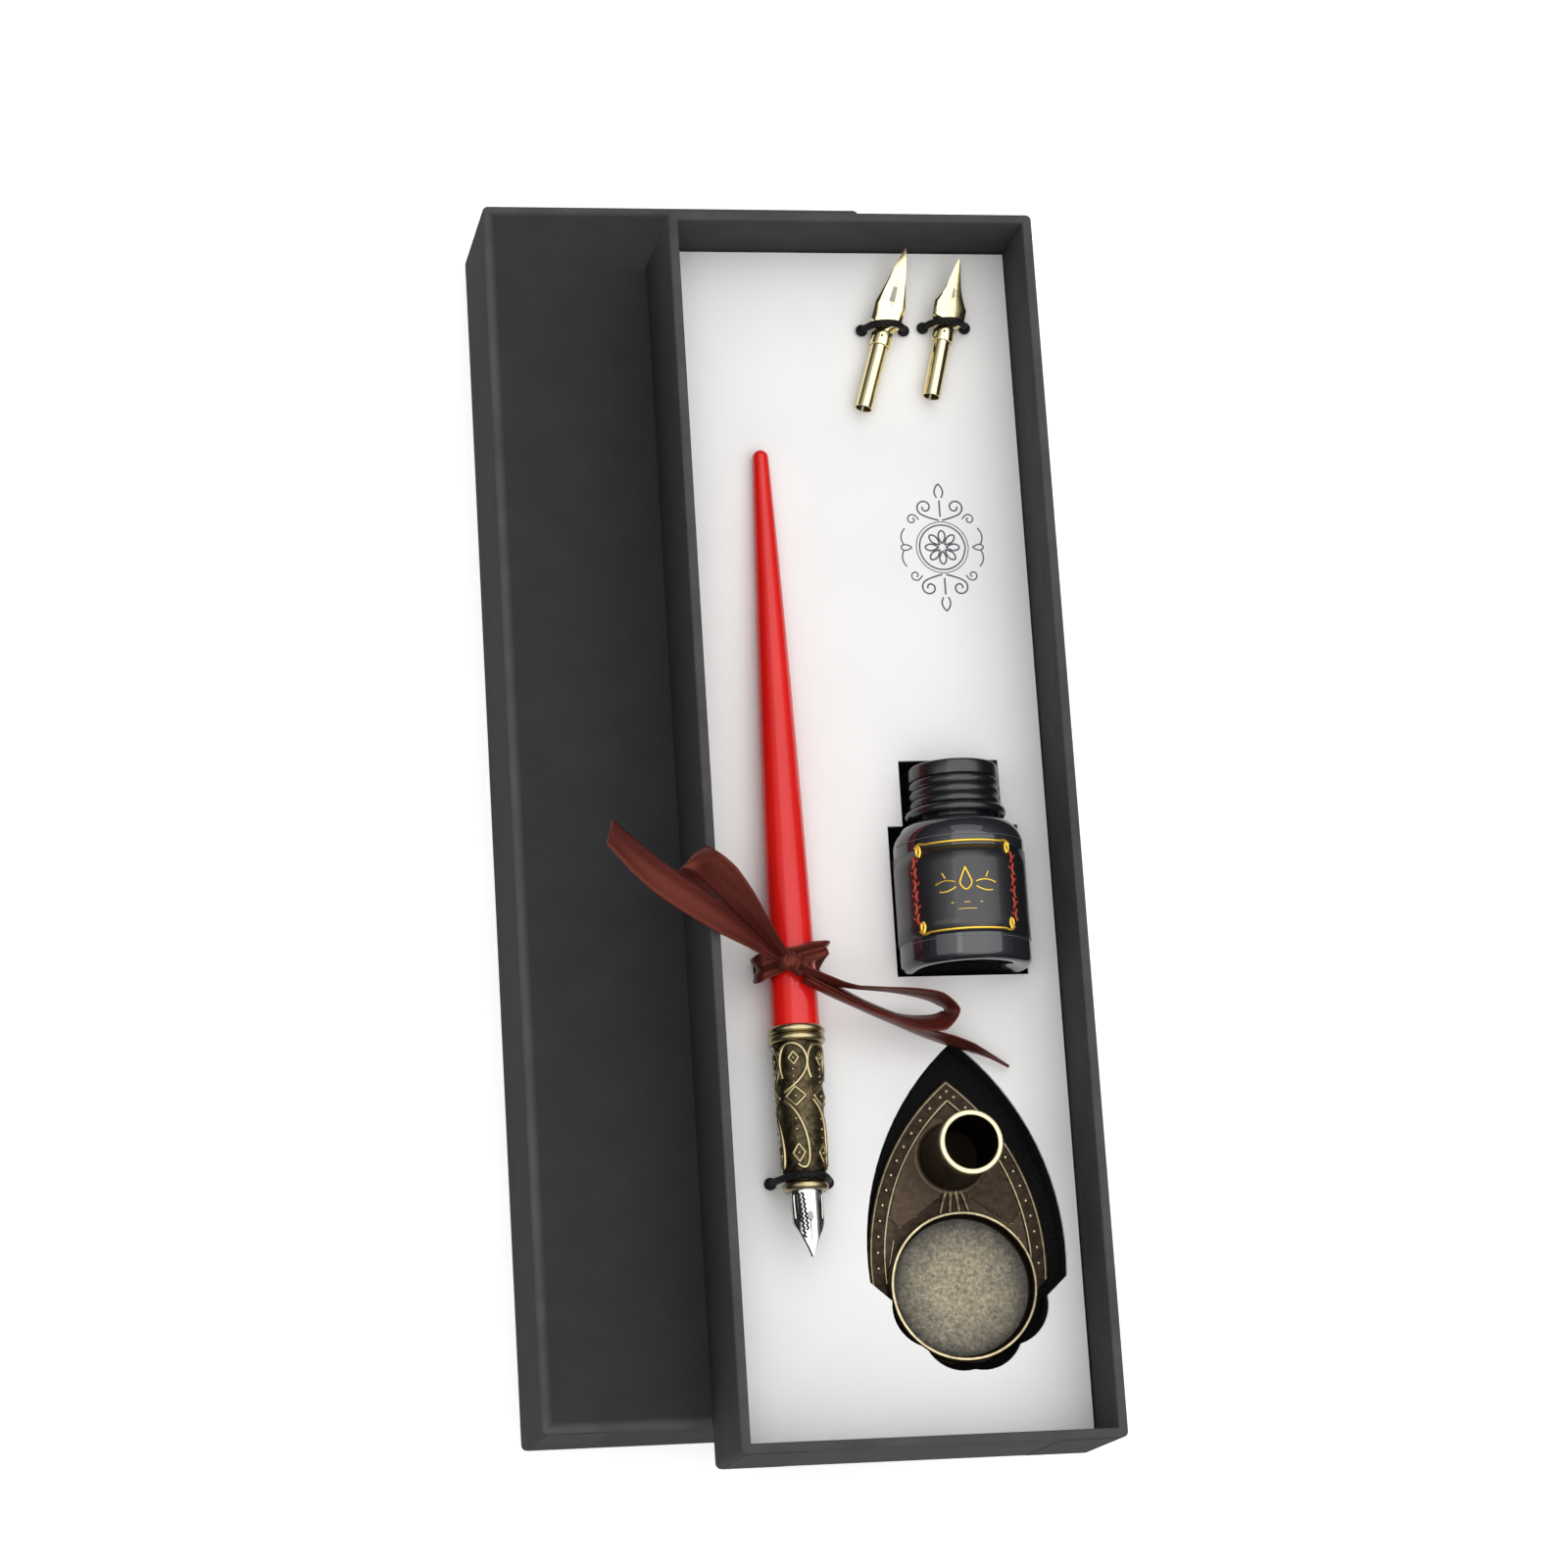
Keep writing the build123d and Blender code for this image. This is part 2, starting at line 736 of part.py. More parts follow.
def planchette(half, apex, tail):
    """A pointed outline with scalloped lobes below its shoulders, about the dish's centre."""
    with BuildSketch() as shape:
        with BuildLine():
            ThreePointArc((0, apex), (0.73 * half, 0.62 * apex), (half, shoulder_y))
            Line((half, shoulder_y), (0.79 * half, -0.16 * tail))
            ThreePointArc(
                (0.79 * half, -0.16 * tail), (0.74 * half, -0.48 * tail), (0.48 * half, -0.72 * tail)
            )
            ThreePointArc((0.48 * half, -0.72 * tail), (0.33 * half, -0.93 * tail), (0, -tail))
            mirror(about=Plane.YZ)
        make_face()
    return shape.sketch


# Stand: the plate with its raised border, the tube and the dish on it
stand_plane = tray_plane(stand_z)
plate_top = stand_z + plate
with BuildSketch() as stand_panel:
    offset(planchette(plate_half, plate_apex, plate_tail), -plate_border)

with BuildPart() as stand_plate:
    with BuildSketch(stand_plane):
        with Locations((stand_x, stand_y)):
            add(planchette(plate_half, plate_apex, plate_tail))
    extrude(amount=plate)
    with BuildSketch(tray_plane(plate_top)):
        with Locations((stand_x, stand_y)):
            add(planchette(plate_half, plate_apex, plate_tail))
            add(stand_panel.sketch, mode=Mode.SUBTRACT)
            Circle(dish_radius, mode=Mode.SUBTRACT)
        with Locations((stand_x, stand_y + tube_at)):
            Circle(tube_radius, mode=Mode.SUBTRACT)
    extrude(amount=plate_rim)
stand_plate.part.label = "stand_plate"

with BuildPart() as stand_dish:
    with BuildSketch(tray_plane(plate_top)):
        with Locations((stand_x, stand_y)):
            Circle(dish_radius)
    extrude(amount=dish_height)
    with BuildSketch(tray_plane(plate_top + dish_floor)):
        with Locations((stand_x, stand_y)):
            Circle(dish_radius - dish_wall)
    extrude(amount=dish_height, mode=Mode.SUBTRACT)
stand_dish.part.label = "stand_dish"

with BuildPart() as stand_tube:
    with BuildSketch(tray_plane(plate_top)):
        with Locations((stand_x, stand_y + tube_at)):
            Circle(tube_radius)
            Circle(tube_bore, mode=Mode.SUBTRACT)
    extrude(amount=tube_height)
stand_tube.part.label = "stand_tube"


def bottle_cut():
    """The opening for the bottle: a wide part for the body and a narrower one for the cap."""
    with BuildSketch() as shape:
        body = bottle_radius + cut_gap
        neck = cap_bead_radius + cut_gap - rest_gap
        body_end = bottle_side + bottle_shoulder + cut_gap
        room_end = cap_top + cap_room
        with Locations((bottle_x, bottle_foot_y + (body_end - cut_gap) / 2)):
            Rectangle(2 * body, body_end + cut_gap)
        with Locations((bottle_x, bottle_foot_y + room_end / 2)):
            Rectangle(2 * neck, room_end)
    return shape.sketch


def stand_cut():
    """The opening for the stand: pointed and scalloped, and wide enough for the dish."""
    with BuildSketch() as shape:
        with Locations((opening_x, stand_y)):
            add(planchette(opening_half, opening_apex, opening_tail))
        with Locations((stand_x, stand_y)):
            Circle(dish_radius + dish_gap)
    return shape.sketch


# Insert: the card with its cuts, holes and slits, then the foam with its two pockets
card_back = card_face - card
with BuildPart() as insert_card:
    with BuildSketch(tray_plane(card_back)):
        Rectangle(inner_width - 2 * insert_gap, inner_length - 2 * insert_gap)
        add(bottle_cut(), mode=Mode.SUBTRACT)
        add(stand_cut(), mode=Mode.SUBTRACT)
    extrude(amount=card)
    loops = [
        (pen_elastic_plane, pen_elastic_half),
        (left_elastic_plane, nib_elastic_half),
        (right_elastic_plane, nib_elastic_half),
    ]
    for plane, half in loops:
        ends = [plane.from_local_coords((side * half, 0, 0)) for side in (-1, 1)]
        with BuildSketch(tray_plane(card_face)):
            for end in ends:
                with Locations((end.X - tray_x, end.Y - tray_y)):
                    Circle(elastic / 2 + hole_gap)
        extrude(amount=-card, mode=Mode.SUBTRACT)
    with BuildSketch(Plane(wrap_plane.origin, x_dir=pen_side)):
        for side in (-1, 1):
            with Locations((side * wrap_foot, 0)):
                Rectangle(wrap_thick + 2 * hole_gap, wrap_width + 2 * hole_gap)
    extrude(amount=-card, mode=Mode.SUBTRACT)
insert_card.part.label = "insert_card"

with BuildPart() as insert_foam:
    with BuildSketch(tray_plane(tray_floor)):
        Rectangle(inner_width - 2 * insert_gap, inner_length - 2 * insert_gap)
    extrude(amount=card_back - tray_floor)
    with BuildSketch(tray_plane(tray_floor + foam_under_bottle)):
        add(bottle_cut())
    extrude(amount=card_face, mode=Mode.SUBTRACT)
    with BuildSketch(stand_plane):
        add(stand_cut())
    extrude(amount=card_face, mode=Mode.SUBTRACT)
insert_foam.part.label = "insert_foam"

export_step(lid_wrap.part, "parts/lid_wrap.step")
export_step(lid_board.part, "parts/lid_board.step")
export_step(tray_board.part, "parts/tray_board.step")
export_step(tray_wrap.part, "parts/tray_wrap.step")
export_step(insert_card.part, "parts/insert_card.step")
export_step(insert_foam.part, "parts/insert_foam.step")
export_step(pen_handle.part, "parts/pen_handle.step")
export_step(pen_grip.part, "parts/pen_grip.step")
export_step(nib_sleeve.part, "parts/nib_sleeve.step")
export_step(pen_nib.part, "parts/pen_nib.step")
export_step(ribbon_wrap.part, "parts/ribbon_wrap.step")
export_step(ribbon_knot.part, "parts/ribbon_knot.step")
export_step(bottle_glass.part, "parts/bottle_glass.step")
export_step(bottle_ink.part, "parts/bottle_ink.step")
export_step(bottle_label.part, "parts/bottle_label.step")
export_step(bottle_cap.part, "parts/bottle_cap.step")
export_step(cap_liner.part, "parts/cap_liner.step")
export_step(stand_plate.part, "parts/stand_plate.step")
export_step(stand_tube.part, "parts/stand_tube.step")
export_step(stand_dish.part, "parts/stand_dish.step")
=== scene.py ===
import json
import math

import bmesh
import bpy
from mathutils import Matrix, Vector


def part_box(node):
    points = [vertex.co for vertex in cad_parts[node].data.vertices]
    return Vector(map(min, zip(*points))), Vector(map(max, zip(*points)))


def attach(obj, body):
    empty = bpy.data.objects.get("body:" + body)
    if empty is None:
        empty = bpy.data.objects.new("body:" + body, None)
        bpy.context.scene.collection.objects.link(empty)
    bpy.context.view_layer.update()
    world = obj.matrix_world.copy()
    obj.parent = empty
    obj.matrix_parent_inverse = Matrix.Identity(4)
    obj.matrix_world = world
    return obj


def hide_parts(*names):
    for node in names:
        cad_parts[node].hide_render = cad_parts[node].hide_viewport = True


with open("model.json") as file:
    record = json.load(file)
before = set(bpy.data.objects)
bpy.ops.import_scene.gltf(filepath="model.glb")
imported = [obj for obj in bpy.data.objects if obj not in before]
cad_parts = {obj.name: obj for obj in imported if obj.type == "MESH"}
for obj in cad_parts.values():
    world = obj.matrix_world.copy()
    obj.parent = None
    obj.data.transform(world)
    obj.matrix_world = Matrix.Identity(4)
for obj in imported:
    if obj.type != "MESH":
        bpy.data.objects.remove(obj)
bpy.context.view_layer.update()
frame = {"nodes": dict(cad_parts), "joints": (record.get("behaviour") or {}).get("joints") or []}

# Lengths below are in millimetres, in the tray's own frame: X to its right, Y up its length,
# Z out of its open face, from the middle of its back.
MM = 0.001
UP = Vector((0, 0, 1))
RIGHT = Vector((1, 0, 0))
tray_low, tray_high = (Vector(corner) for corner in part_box("tray_wrap"))
tray_back = Vector(((tray_low.x + tray_high.x) / 2, (tray_low.y + tray_high.y) / 2, tray_low.z))
card_face = 13.6
foam_floor = 1.8 + 0.8
rest_gap = 0.15
board_wall = 2.0
paper_thick = 0.2


def tray(x, y, z):
    """A place in the tray's frame, in metres in the shared frame."""
    return tray_back + Vector((x, y, z)) * MM


def card_under(place):
    """The place on the card's face below another place."""
    return Vector((place.x, place.y, tray_back.z + card_face * MM))


def linear(code):
    """A linear colour from an sRGB hex value."""
    parts = [int(code[i : i + 2], 16) / 255 for i in (1, 3, 5)]
    return [p / 12.92 if p <= 0.04045 else ((p + 0.055) / 1.055) ** 2.4 for p in parts] + [1.0]


# Materials
def feed(tree, made, settings):
    """Sets a node's properties and inputs. An input that is given another node's output is linked."""
    for key, value in settings.items():
        if isinstance(value, bpy.types.NodeSocket):
            tree.links.new(value, made.inputs[key])
        elif isinstance(key, str) and hasattr(made, key):
            setattr(made, key, value)
        else:
            made.inputs[key].default_value = value
    return made


def node(tree, kind, settings):
    """Adds a node."""
    return feed(tree, tree.nodes.new(kind), settings)


def finish_named(name, colour, roughness, metallic=0.0, **more):
    """A material with one shader: returns it, its tree and the shader."""
    material = bpy.data.materials.new(name)
    material.use_nodes = True
    tree = material.node_tree
    settings = {"Base Color": linear(colour), "Roughness": roughness, "Metallic": metallic}
    settings.update({key.replace("_", " "): value for key, value in more.items()})
    return material, tree, feed(tree, tree.nodes["Principled BSDF"], settings)


def place_on(tree, kind="Object"):
    """The piece's own coordinates, in metres."""
    return node(tree, "ShaderNodeTexCoord", {}).outputs[kind]


def grain(tree, size, detail=2.0, stretch=(1, 1, 1), rough=0.5):
    """Noise whose features are about size millimetres across."""
    turned = node(tree, "ShaderNodeMapping", {"Scale": stretch, "Vector": place_on(tree)}).outputs[0]
    settings = {"Scale": 1 / (size * MM), "Detail": detail, "Roughness": rough, "Vector": turned}
    return node(tree, "ShaderNodeTexNoise", settings).outputs["Fac"]


def blend_colours(tree, factor, stops):
    """A colour ramp through (position, hex) stops, driven by factor."""
    ramp = node(tree, "ShaderNodeValToRGB", {"Fac": factor})
    points = ramp.color_ramp.elements
    for point, (place, code) in zip((points[0], points[1]), (stops[0], stops[-1])):
        point.position = place
        point.color = linear(code)
    for place, code in stops[1:-1]:
        points.new(place).color = linear(code)
    return ramp.outputs["Color"]


def wear_and_light_by(tree, name):
    """How rubbed the surface is, as the mesh says it; on some pieces it also carries painted highlight or
    painted shade.
    """
    return node(tree, "ShaderNodeAttribute", {"attribute_name": name}).outputs["Fac"]


def vary(tree, value, low, high):
    """A factor from 0 to 1 spread over low to high."""
    settings = {"To Min": low, "To Max": high, "Value": value}
    return node(tree, "ShaderNodeMapRange", settings).outputs["Result"]


def combine(tree, operation, first, second, clamp=False):
    """Two factors added, multiplied or compared."""
    settings = {"operation": operation, "use_clamp": clamp, 0: first, 1: second}
    return node(tree, "ShaderNodeMath", settings).outputs[0]


def mixed(tree, factor, first, second, way="MIX"):
    """A colour between two others, or their product."""
    settings = {"data_type": "RGBA", "blend_type": way, 0: factor, 6: first, 7: second}
    return node(tree, "ShaderNodeMix", settings).outputs[2]


def emboss(tree, shader, height, depth, strength, **under):
    """A bump of a depth in millimetres, over another bump's Normal where that is given."""
    settings = {"Height": height, "Distance": depth * MM, "Strength": strength, **under}
    bump = node(tree, "ShaderNodeBump", settings).outputs["Normal"]
    feed(tree, shader, {"Normal": bump})
    return bump


def mottle(tree, shader, pattern, tones=(), gloss=(), relief=()):
    """Lets one pattern drive the colour through stops, the roughness from one value to another,
    and a bump of a depth and strength."""
    if tones:
        feed(tree, shader, {"Base Color": blend_colours(tree, pattern, tones)})
    if gloss:
        feed(tree, shader, {"Roughness": vary(tree, pattern, *gloss)})
    if relief:
        emboss(tree, shader, pattern, *relief)


def wrapping_paper():
    """Uncoated dyed paper: dull charcoal, faint fibre, paler on its folds and rim, partly rubbed wear and
    partly a painted highlight along the edges.
    """
    material, tree, shader = finish_named(
        "charcoal_wrapping_paper", "#363637", 0.78, Specular_IOR_Level=0.08
    )
    cloud = grain(tree, 9.0, 4.0)
    base = blend_colours(tree, cloud, [(0.3, "#343435"), (0.7, "#383839")])
    # Paler where the rubbed layer is high: partly wear, partly a painted highlight along the folds and rim.
    wear_and_highlight = combine(tree, "MULTIPLY", wear_and_light_by(tree, "rubbed"), vary(tree, cloud, 0.3, 1.2))
    feed(tree, shader, {"Base Color": mixed(tree, wear_and_highlight, base, linear("#575759"))})
    mottle(tree, shader, grain(tree, 0.35, 3.0, (1, 0.35, 1)), relief=(0.05, 0.6))
    return material


def greyboard():
    """Pressed waste-paper board: warm grey, flecked and soft."""
    material, tree, shader = finish_named("pressed_greyboard", "#8d8880", 0.9)
    tones = [(0.35, "#7d776e"), (0.6, "#938e86"), (0.75, "#a9a49b")]
    mottle(tree, shader, grain(tree, 0.6, 4.0), tones, relief=(0.06, 0.5))
    return material


def white_card():
    """Smooth matt card: nearly white, very slightly warm, with a barely felt tooth."""
    material, tree, shader = finish_named("smooth_white_card", "#f0efed", 0.62)
    mottle(tree, shader, grain(tree, 30.0, 2.0), [(0.3, "#eeedeb"), (0.7, "#f3f2f0")])
    mottle(tree, shader, grain(tree, 0.5, 3.0), relief=(0.03, 0.35))
    return material


def black_foam():
    """Cut polyethylene foam: black, dull and open-celled, with cells drawn at 0.5 mm."""
    material, tree, shader = finish_named("cut_black_foam", "#171718", 0.95, Specular_IOR_Level=0.2)
    settings = {"Scale": 1 / (0.5 * MM), "Vector": place_on(tree)}
    cells = node(tree, "ShaderNodeTexVoronoi", settings).outputs["Distance"]
    mottle(tree, shader, cells, [(0.1, "#1b1b1c"), (0.7, "#0d0d0e")], relief=(0.15, 0.8))
    return material


def covered_elastic():
    """Rubber core in a tight black rayon braid, drawn with plaits 0.45 mm apart."""
    material, tree, shader = finish_named("braided_elastic", "#101011", 0.6, Specular_IOR_Level=0.2)
    settings = {"bands_direction": "DIAGONAL", "Scale": 1 / (2.2 * MM), "Distortion": 1.5, "Detail": 1.0}
    settings["Vector"] = place_on(tree)
    plait = node(tree, "ShaderNodeTexWave", settings).outputs["Fac"]
    mottle(tree, shader, plait, [(0.2, "#060607"), (0.9, "#141416")], relief=(0.12, 0.9))
    return material


def red_lacquer():
    """Sprayed lacquer on turned wood: a deep clear gloss with slight orange peel."""
    gloss = {"Specular_IOR_Level": 0.2, "Coat_Weight": 0.5, "Coat_Roughness": 0.08}
    material, tree, shader = finish_named("sprayed_red_lacquer", "#de1813", 0.3, **gloss)
    mottle(tree, shader, grain(tree, 6.0, 2.0, (1, 0.15, 1)), [(0.3, "#d61511"), (0.7, "#e61c16")])
    mottle(tree, shader, grain(tree, 1.2, 1.0), relief=(0.02, 0.25))
    return material


def antique_brass(name, dark, mid, bright, gloss, mottling):
    """Cast brass, blackened and then rubbed: dark in the hollows, golden on what stands proud."""
    material, tree, shader = finish_named(name, mid, gloss, 1.0)
    uneven = vary(tree, grain(tree, 1.6, 5.0, rough=0.65), -mottling, mottling)
    factor = combine(tree, "ADD", wear_and_light_by(tree, "bright"), uneven, True)
    tones = [(0.0, dark), (0.35, mid), (0.8, bright), (1.0, bright)]
    mottle(tree, shader, factor, tones, (gloss + 0.16, gloss - 0.1))
    mottle(tree, shader, grain(tree, 0.25, 3.0), relief=(0.03, 0.5))
    return material


def speckled_metal():
    """Tumbled cast metal with pale and dark specks about 0.8 mm across, and a painted shade that
    darkens it towards the dish's wall, paler in the middle."""
    material, tree, shader = finish_named("tumbled_grey_metal", "#8f8878", 0.5, 0.7)
    speck = grain(tree, 0.8, 4.0, rough=0.75)
    stops = [(0.3, "#5b5751"), (0.45, "#8f897c"), (0.58, "#b3ab9a"), (0.72, "#e6dcc4")]
    fine = blend_colours(tree, speck, stops)
    cloud = vary(tree, grain(tree, 6.0, 3.0), -0.25, 0.25)
    # Painted shade: the mesh's bright values fall towards the dish's wall, so the floor darkens there.
    rubbed = combine(tree, "ADD", wear_and_light_by(tree, "bright"), cloud, True)
    shade = blend_colours(tree, rubbed, [(0.0, "#6a6b6d"), (0.5, "#b0aea9"), (1.0, "#dbd5c8")])
    feed(tree, shader, {"Base Color": mixed(tree, 1.0, fine, shade, "MULTIPLY")})
    mottle(tree, shader, speck, gloss=(0.35, 0.65), relief=(0.08, 0.6))
    return material


def plated(name, colour, roughness):
    """Stamped and plated spring steel: a clean mirror with faint drawing lines."""
    material, tree, shader = finish_named(name, colour, roughness, 1.0)
    lines = grain(tree, 0.3, 2.0, (1, 0.08, 1))
    mottle(tree, shader, lines, gloss=(roughness * 0.7, roughness * 1.5), relief=(0.01, 0.2))
    return material


def satin():
    """Polyester satin: burgundy floats along the ribbon, bright where it turns to the light."""
    sheen = {"Specular_IOR_Level": 0.6, "Specular_Tint": linear("#ff9a78")}
    material, tree, shader = finish_named("burgundy_satin", "#5d211d", 0.38, **sheen)
    along = node(tree, "ShaderNodeUVMap", {"uv_map": "ribbon"}).outputs[0]
    # The floats are 0.1 mm apart in real satin and are drawn 0.35 mm apart so that they show
    spread = node(tree, "ShaderNodeMapping", {"Scale": (18, 120, 1), "Vector": along}).outputs[0]
    settings = {"Scale": 1.0, "Detail": 3.0, "Vector": spread}
    floats = node(tree, "ShaderNodeTexNoise", settings).outputs["Fac"]
    settings = {"bands_direction": "X", "Scale": 6.0, "Distortion": 0.6, "Detail": 2.0, "Vector": along}
    threads = node(tree, "ShaderNodeTexWave", settings).outputs["Fac"]
    mottle(tree, shader, floats, [(0.3, "#3a1412"), (0.55, "#50201d"), (0.8, "#6c2f28")], (0.3, 0.48))
    first = emboss(tree, shader, threads, 0.02, 0.4)
    emboss(tree, shader, floats, 0.05, 0.5, Normal=first)
    return material


def bottle_glass():
    """Moulded soda-lime glass, dark because ink stands behind it."""
    gloss = {"IOR": 1.5, "Coat_Weight": 0.6, "Coat_Roughness": 0.04}
    material, tree, shader = finish_named("moulded_ink_glass", "#232529", 0.05, **gloss)
    mottle(tree, shader, grain(tree, 5.0, 1.0), relief=(0.08, 0.3))
    return material


def black_ink():
    """Iron-black ink: a liquid so dense that only its surface shows."""
    return finish_named("dense_black_ink", "#06060a", 0.08)[0]


def phenolic():
    """Compression-moulded phenolic: black, hard and glossy, softly mottled."""
    material, tree, shader = finish_named("moulded_phenolic", "#17171a", 0.24, Coat_Weight=0.25)
    mottle(tree, shader, grain(tree, 3.0, 3.0), gloss=(0.18, 0.34), relief=(0.03, 0.3))
    return material


def label_stock():
    """Coated black label paper: smooth, with a low sheen."""
    material, tree, shader = finish_named("coated_label_paper", "#1b1b1e", 0.3, Coat_Weight=0.3)
    mottle(tree, shader, grain(tree, 0.5, 2.0), relief=(0.02, 0.3))
    return material


def printing_ink(name, colour, metallic=0.0, roughness=0.5):
    """A thin film of printing ink with slightly uneven cover."""
    material, tree, shader = finish_named(name, colour, roughness, metallic)
    mottle(tree, shader, grain(tree, 0.4, 3.0), gloss=(roughness * 0.8, roughness * 1.3))
    return material


def pulp_liner():
    """Pulp board disc: off-white and fibrous."""
    material, tree, shader = finish_named("pulp_liner", "#d6d0c2", 0.85)
    mottle(tree, shader, grain(tree, 0.4, 3.0), relief=(0.04, 0.5))
    return material


charcoal = wrapping_paper()
grey = greyboard()
white = white_card()
foam = black_foam()
elastic_braid = covered_elastic()
lacquer = red_lacquer()
grip_brass = antique_brass("antique_brass_grip", "#241f18", "#665b45", "#aea07a", 0.36, 0.45)
stand_brass = antique_brass("antique_brass_stand", "#261f19", "#594c3f", "#e6d7ab", 0.42, 0.2)
grey_metal = speckled_metal()
bright_steel = plated("polished_nib_steel", "#e6e6e5", 0.12)
gilt = plated("gilt_nib_plate", "#f2e2b0", 0.15)
spring_steel = plated("plain_spring_steel", "#b4b4b2", 0.3)
# Also used for dark strips and a dark edge line on the nib that paint shade.
dark_steel_and_shade = plated("stamped_dark_line_and_painted_shade", "#2b2823", 0.45)
burgundy = satin()
glass = bottle_glass()
ink = black_ink()
black_cap = phenolic()
label_paper = label_stock()
gold_ink = printing_ink("gold_bronze_ink", "#e3bb45", 0.75, 0.34)
red_ink = printing_ink("russet_ink", "#a8331f", 0.1)
silver_ink = printing_ink("silver_bronze_ink", "#77797c", 0.6, 0.4)
slate_ink = printing_ink("slate_printing_ink", "#454b54")
pulp = pulp_liner()


# Making tools
def bright_layer(bm, name="bright"):
    """The layer that says how rubbed each vertex is; on some pieces it also holds painted highlight or
    painted shade.
    """
    return bm.verts.layers.float.get(name) or bm.verts.layers.float.new(name)


def shown(name, data):
    """An object for a mesh, a lamp or the camera."""
    made = bpy.data.objects.new(name, data)
    bpy.context.collection.objects.link(made)
    return made


def piece(name, bm, body, material, replaces=(), sharp=38):
    """Closes a mesh, makes it an object, rides it on its body and hides the CAD parts that it stands for."""
    bmesh.ops.remove_doubles(bm, verts=bm.verts, dist=0.001 * MM)
    bmesh.ops.recalc_face_normals(bm, faces=bm.faces)
    mesh = bpy.data.meshes.new(name)
    bm.to_mesh(mesh)
    bm.free()
    mesh.shade_smooth()
    mesh.set_sharp_from_angle(angle=math.radians(sharp))
    mesh.materials.append(material)
    made = shown(name, mesh)
    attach(made, body)
    if replaces:
        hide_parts(*replaces)
    return made


def thicken(made, thickness, offset=0):
    """Gives a sheet its wall: to both sides, or inwards where offset is -1."""
    wall = made.modifiers.new("wall", "SOLIDIFY")
    wall.thickness = thickness * MM
    wall.offset = offset


def arc(start, middle, end, steps):
    """Points of the arc from start through middle to end, without start."""
    (ax, ay), (bx, by), (cx, cy) = start, middle, end
    twice = 2 * (ax * (by - cy) + bx * (cy - ay) + cx * (ay - by))
    a2, b2, c2 = ax * ax + ay * ay, bx * bx + by * by, cx * cx + cy * cy
    ox = (a2 * (by - cy) + b2 * (cy - ay) + c2 * (ay - by)) / twice
    oy = (a2 * (cx - bx) + b2 * (ax - cx) + c2 * (bx - ax)) / twice
    radius = math.hypot(ax - ox, ay - oy)
    first = math.atan2(ay - oy, ax - ox)
    through = (math.atan2(by - oy, bx - ox) - first) % (2 * math.pi)
    sweep = (math.atan2(cy - oy, cx - ox) - first) % (2 * math.pi)
    if through > sweep:
        sweep -= 2 * math.pi
    turns = [first + sweep * (i + 1) / steps for i in range(steps)]
    return [(ox + radius * math.cos(t), oy + radius * math.sin(t)) for t in turns]


def turn(bm, outline, origin, axis, side, steps=96, closed=False):
    """Spins an outline of (along, radius, rubbed) about an axis. Where rubbed is left out, it is 0."""
    layer = bright_layer(bm)
    row = []
    for along, radius, *rubbed in outline:
        made = bm.verts.new(origin + (axis * along + side * radius) * MM)
        made[layer] = sum(rubbed)
        row.append(made)
    pairs = list(zip(row, row[1:])) + ([(row[-1], row[0])] if closed else [])
    parts = row + [bm.edges.new(pair) for pair in pairs]
    full = 2 * math.pi
    bmesh.ops.spin(bm, geom=parts, cent=origin, axis=axis, angle=full, steps=steps, use_merge=True)


def nurbs(points, resolution, closed=False, radius=0.0, sides=0):
    """The mesh of a NURBS line with control points in metres, round where it has a radius."""
    data = bpy.data.curves.new("line", "CURVE")
    data.dimensions = "3D"
    data.bevel_depth = radius * MM
    data.bevel_resolution = sides
    data.use_fill_caps = True
    spline = data.splines.new("NURBS")
    spline.points.add(len(points) - 1)
    for place, point in zip(spline.points, points):
        place.co = (*point, 1)
    spline.order_u = 3
    spline.use_endpoint_u = not closed
    spline.use_cyclic_u = closed
    spline.resolution_u = resolution
    holder = bpy.data.objects.new("line", data)
    mesh = bpy.data.meshes.new_from_object(holder)
    bpy.data.objects.remove(holder)
    bpy.data.curves.remove(data)
    return mesh


def smooth_line(points, resolution):
    """Points of a NURBS line, in metres."""
    mesh = nurbs(points, resolution)
    line = [v.co.copy() for v in mesh.vertices]
    bpy.data.meshes.remove(mesh)
    return line


def wire(bm, points, radius, rubbed=1.0, closed=False, sides=2, resolution=6):
    """Adds a round wire along points in metres, and returns its vertices."""
    layer = bright_layer(bm)
    before = len(bm.verts)
    mesh = nurbs(points, resolution, closed, radius, sides)
    bm.from_mesh(mesh)
    bpy.data.meshes.remove(mesh)
    bm.verts.ensure_lookup_table()
    made = bm.verts[before:]
    for vert in made:
        vert[layer] = rubbed
    return made


def dot(bm, place, radius, rubbed=1.0, level=2, squash=1.0):
    """Adds a small bead."""
    layer = bright_layer(bm)
    turned = Matrix.Translation(place) @ Matrix.Diagonal((1, 1, squash, 1))
    made = bmesh.ops.create_icosphere(bm, subdivisions=level, radius=radius * MM, matrix=turned)
    for vert in made["verts"]:
        vert[layer] = rubbed


# Box halves: each a paper skin over its board
def ring_on(bm, face, inset, lift, rubbed):
    """Grows a ring round a face: the face goes in by inset and out along its normal by lift."""
    layer = bright_layer(bm, "rubbed")
    bmesh.ops.inset_region(
        bm, faces=[face], thickness=inset * MM, depth=lift * MM, use_even_offset=True, use_boundary=True
    )
    for vert in face.verts:
        vert[layer] = rubbed


def rounded_ring(bm, face, radius, rubbed, steps, down=False):
    """Rounds a face's rim from its outer side to its top, or from its top down its inner side."""
    for i in range(steps):
        here, there = (math.pi / 2 * k / steps for k in (i, i + 1))
        short = radius * (math.cos(here) - math.cos(there))
        long = radius * (math.sin(there) - math.sin(here))
        inset, lift = (long, -short) if down else (short, long)
        ring_on(bm, face, inset, lift, rubbed)


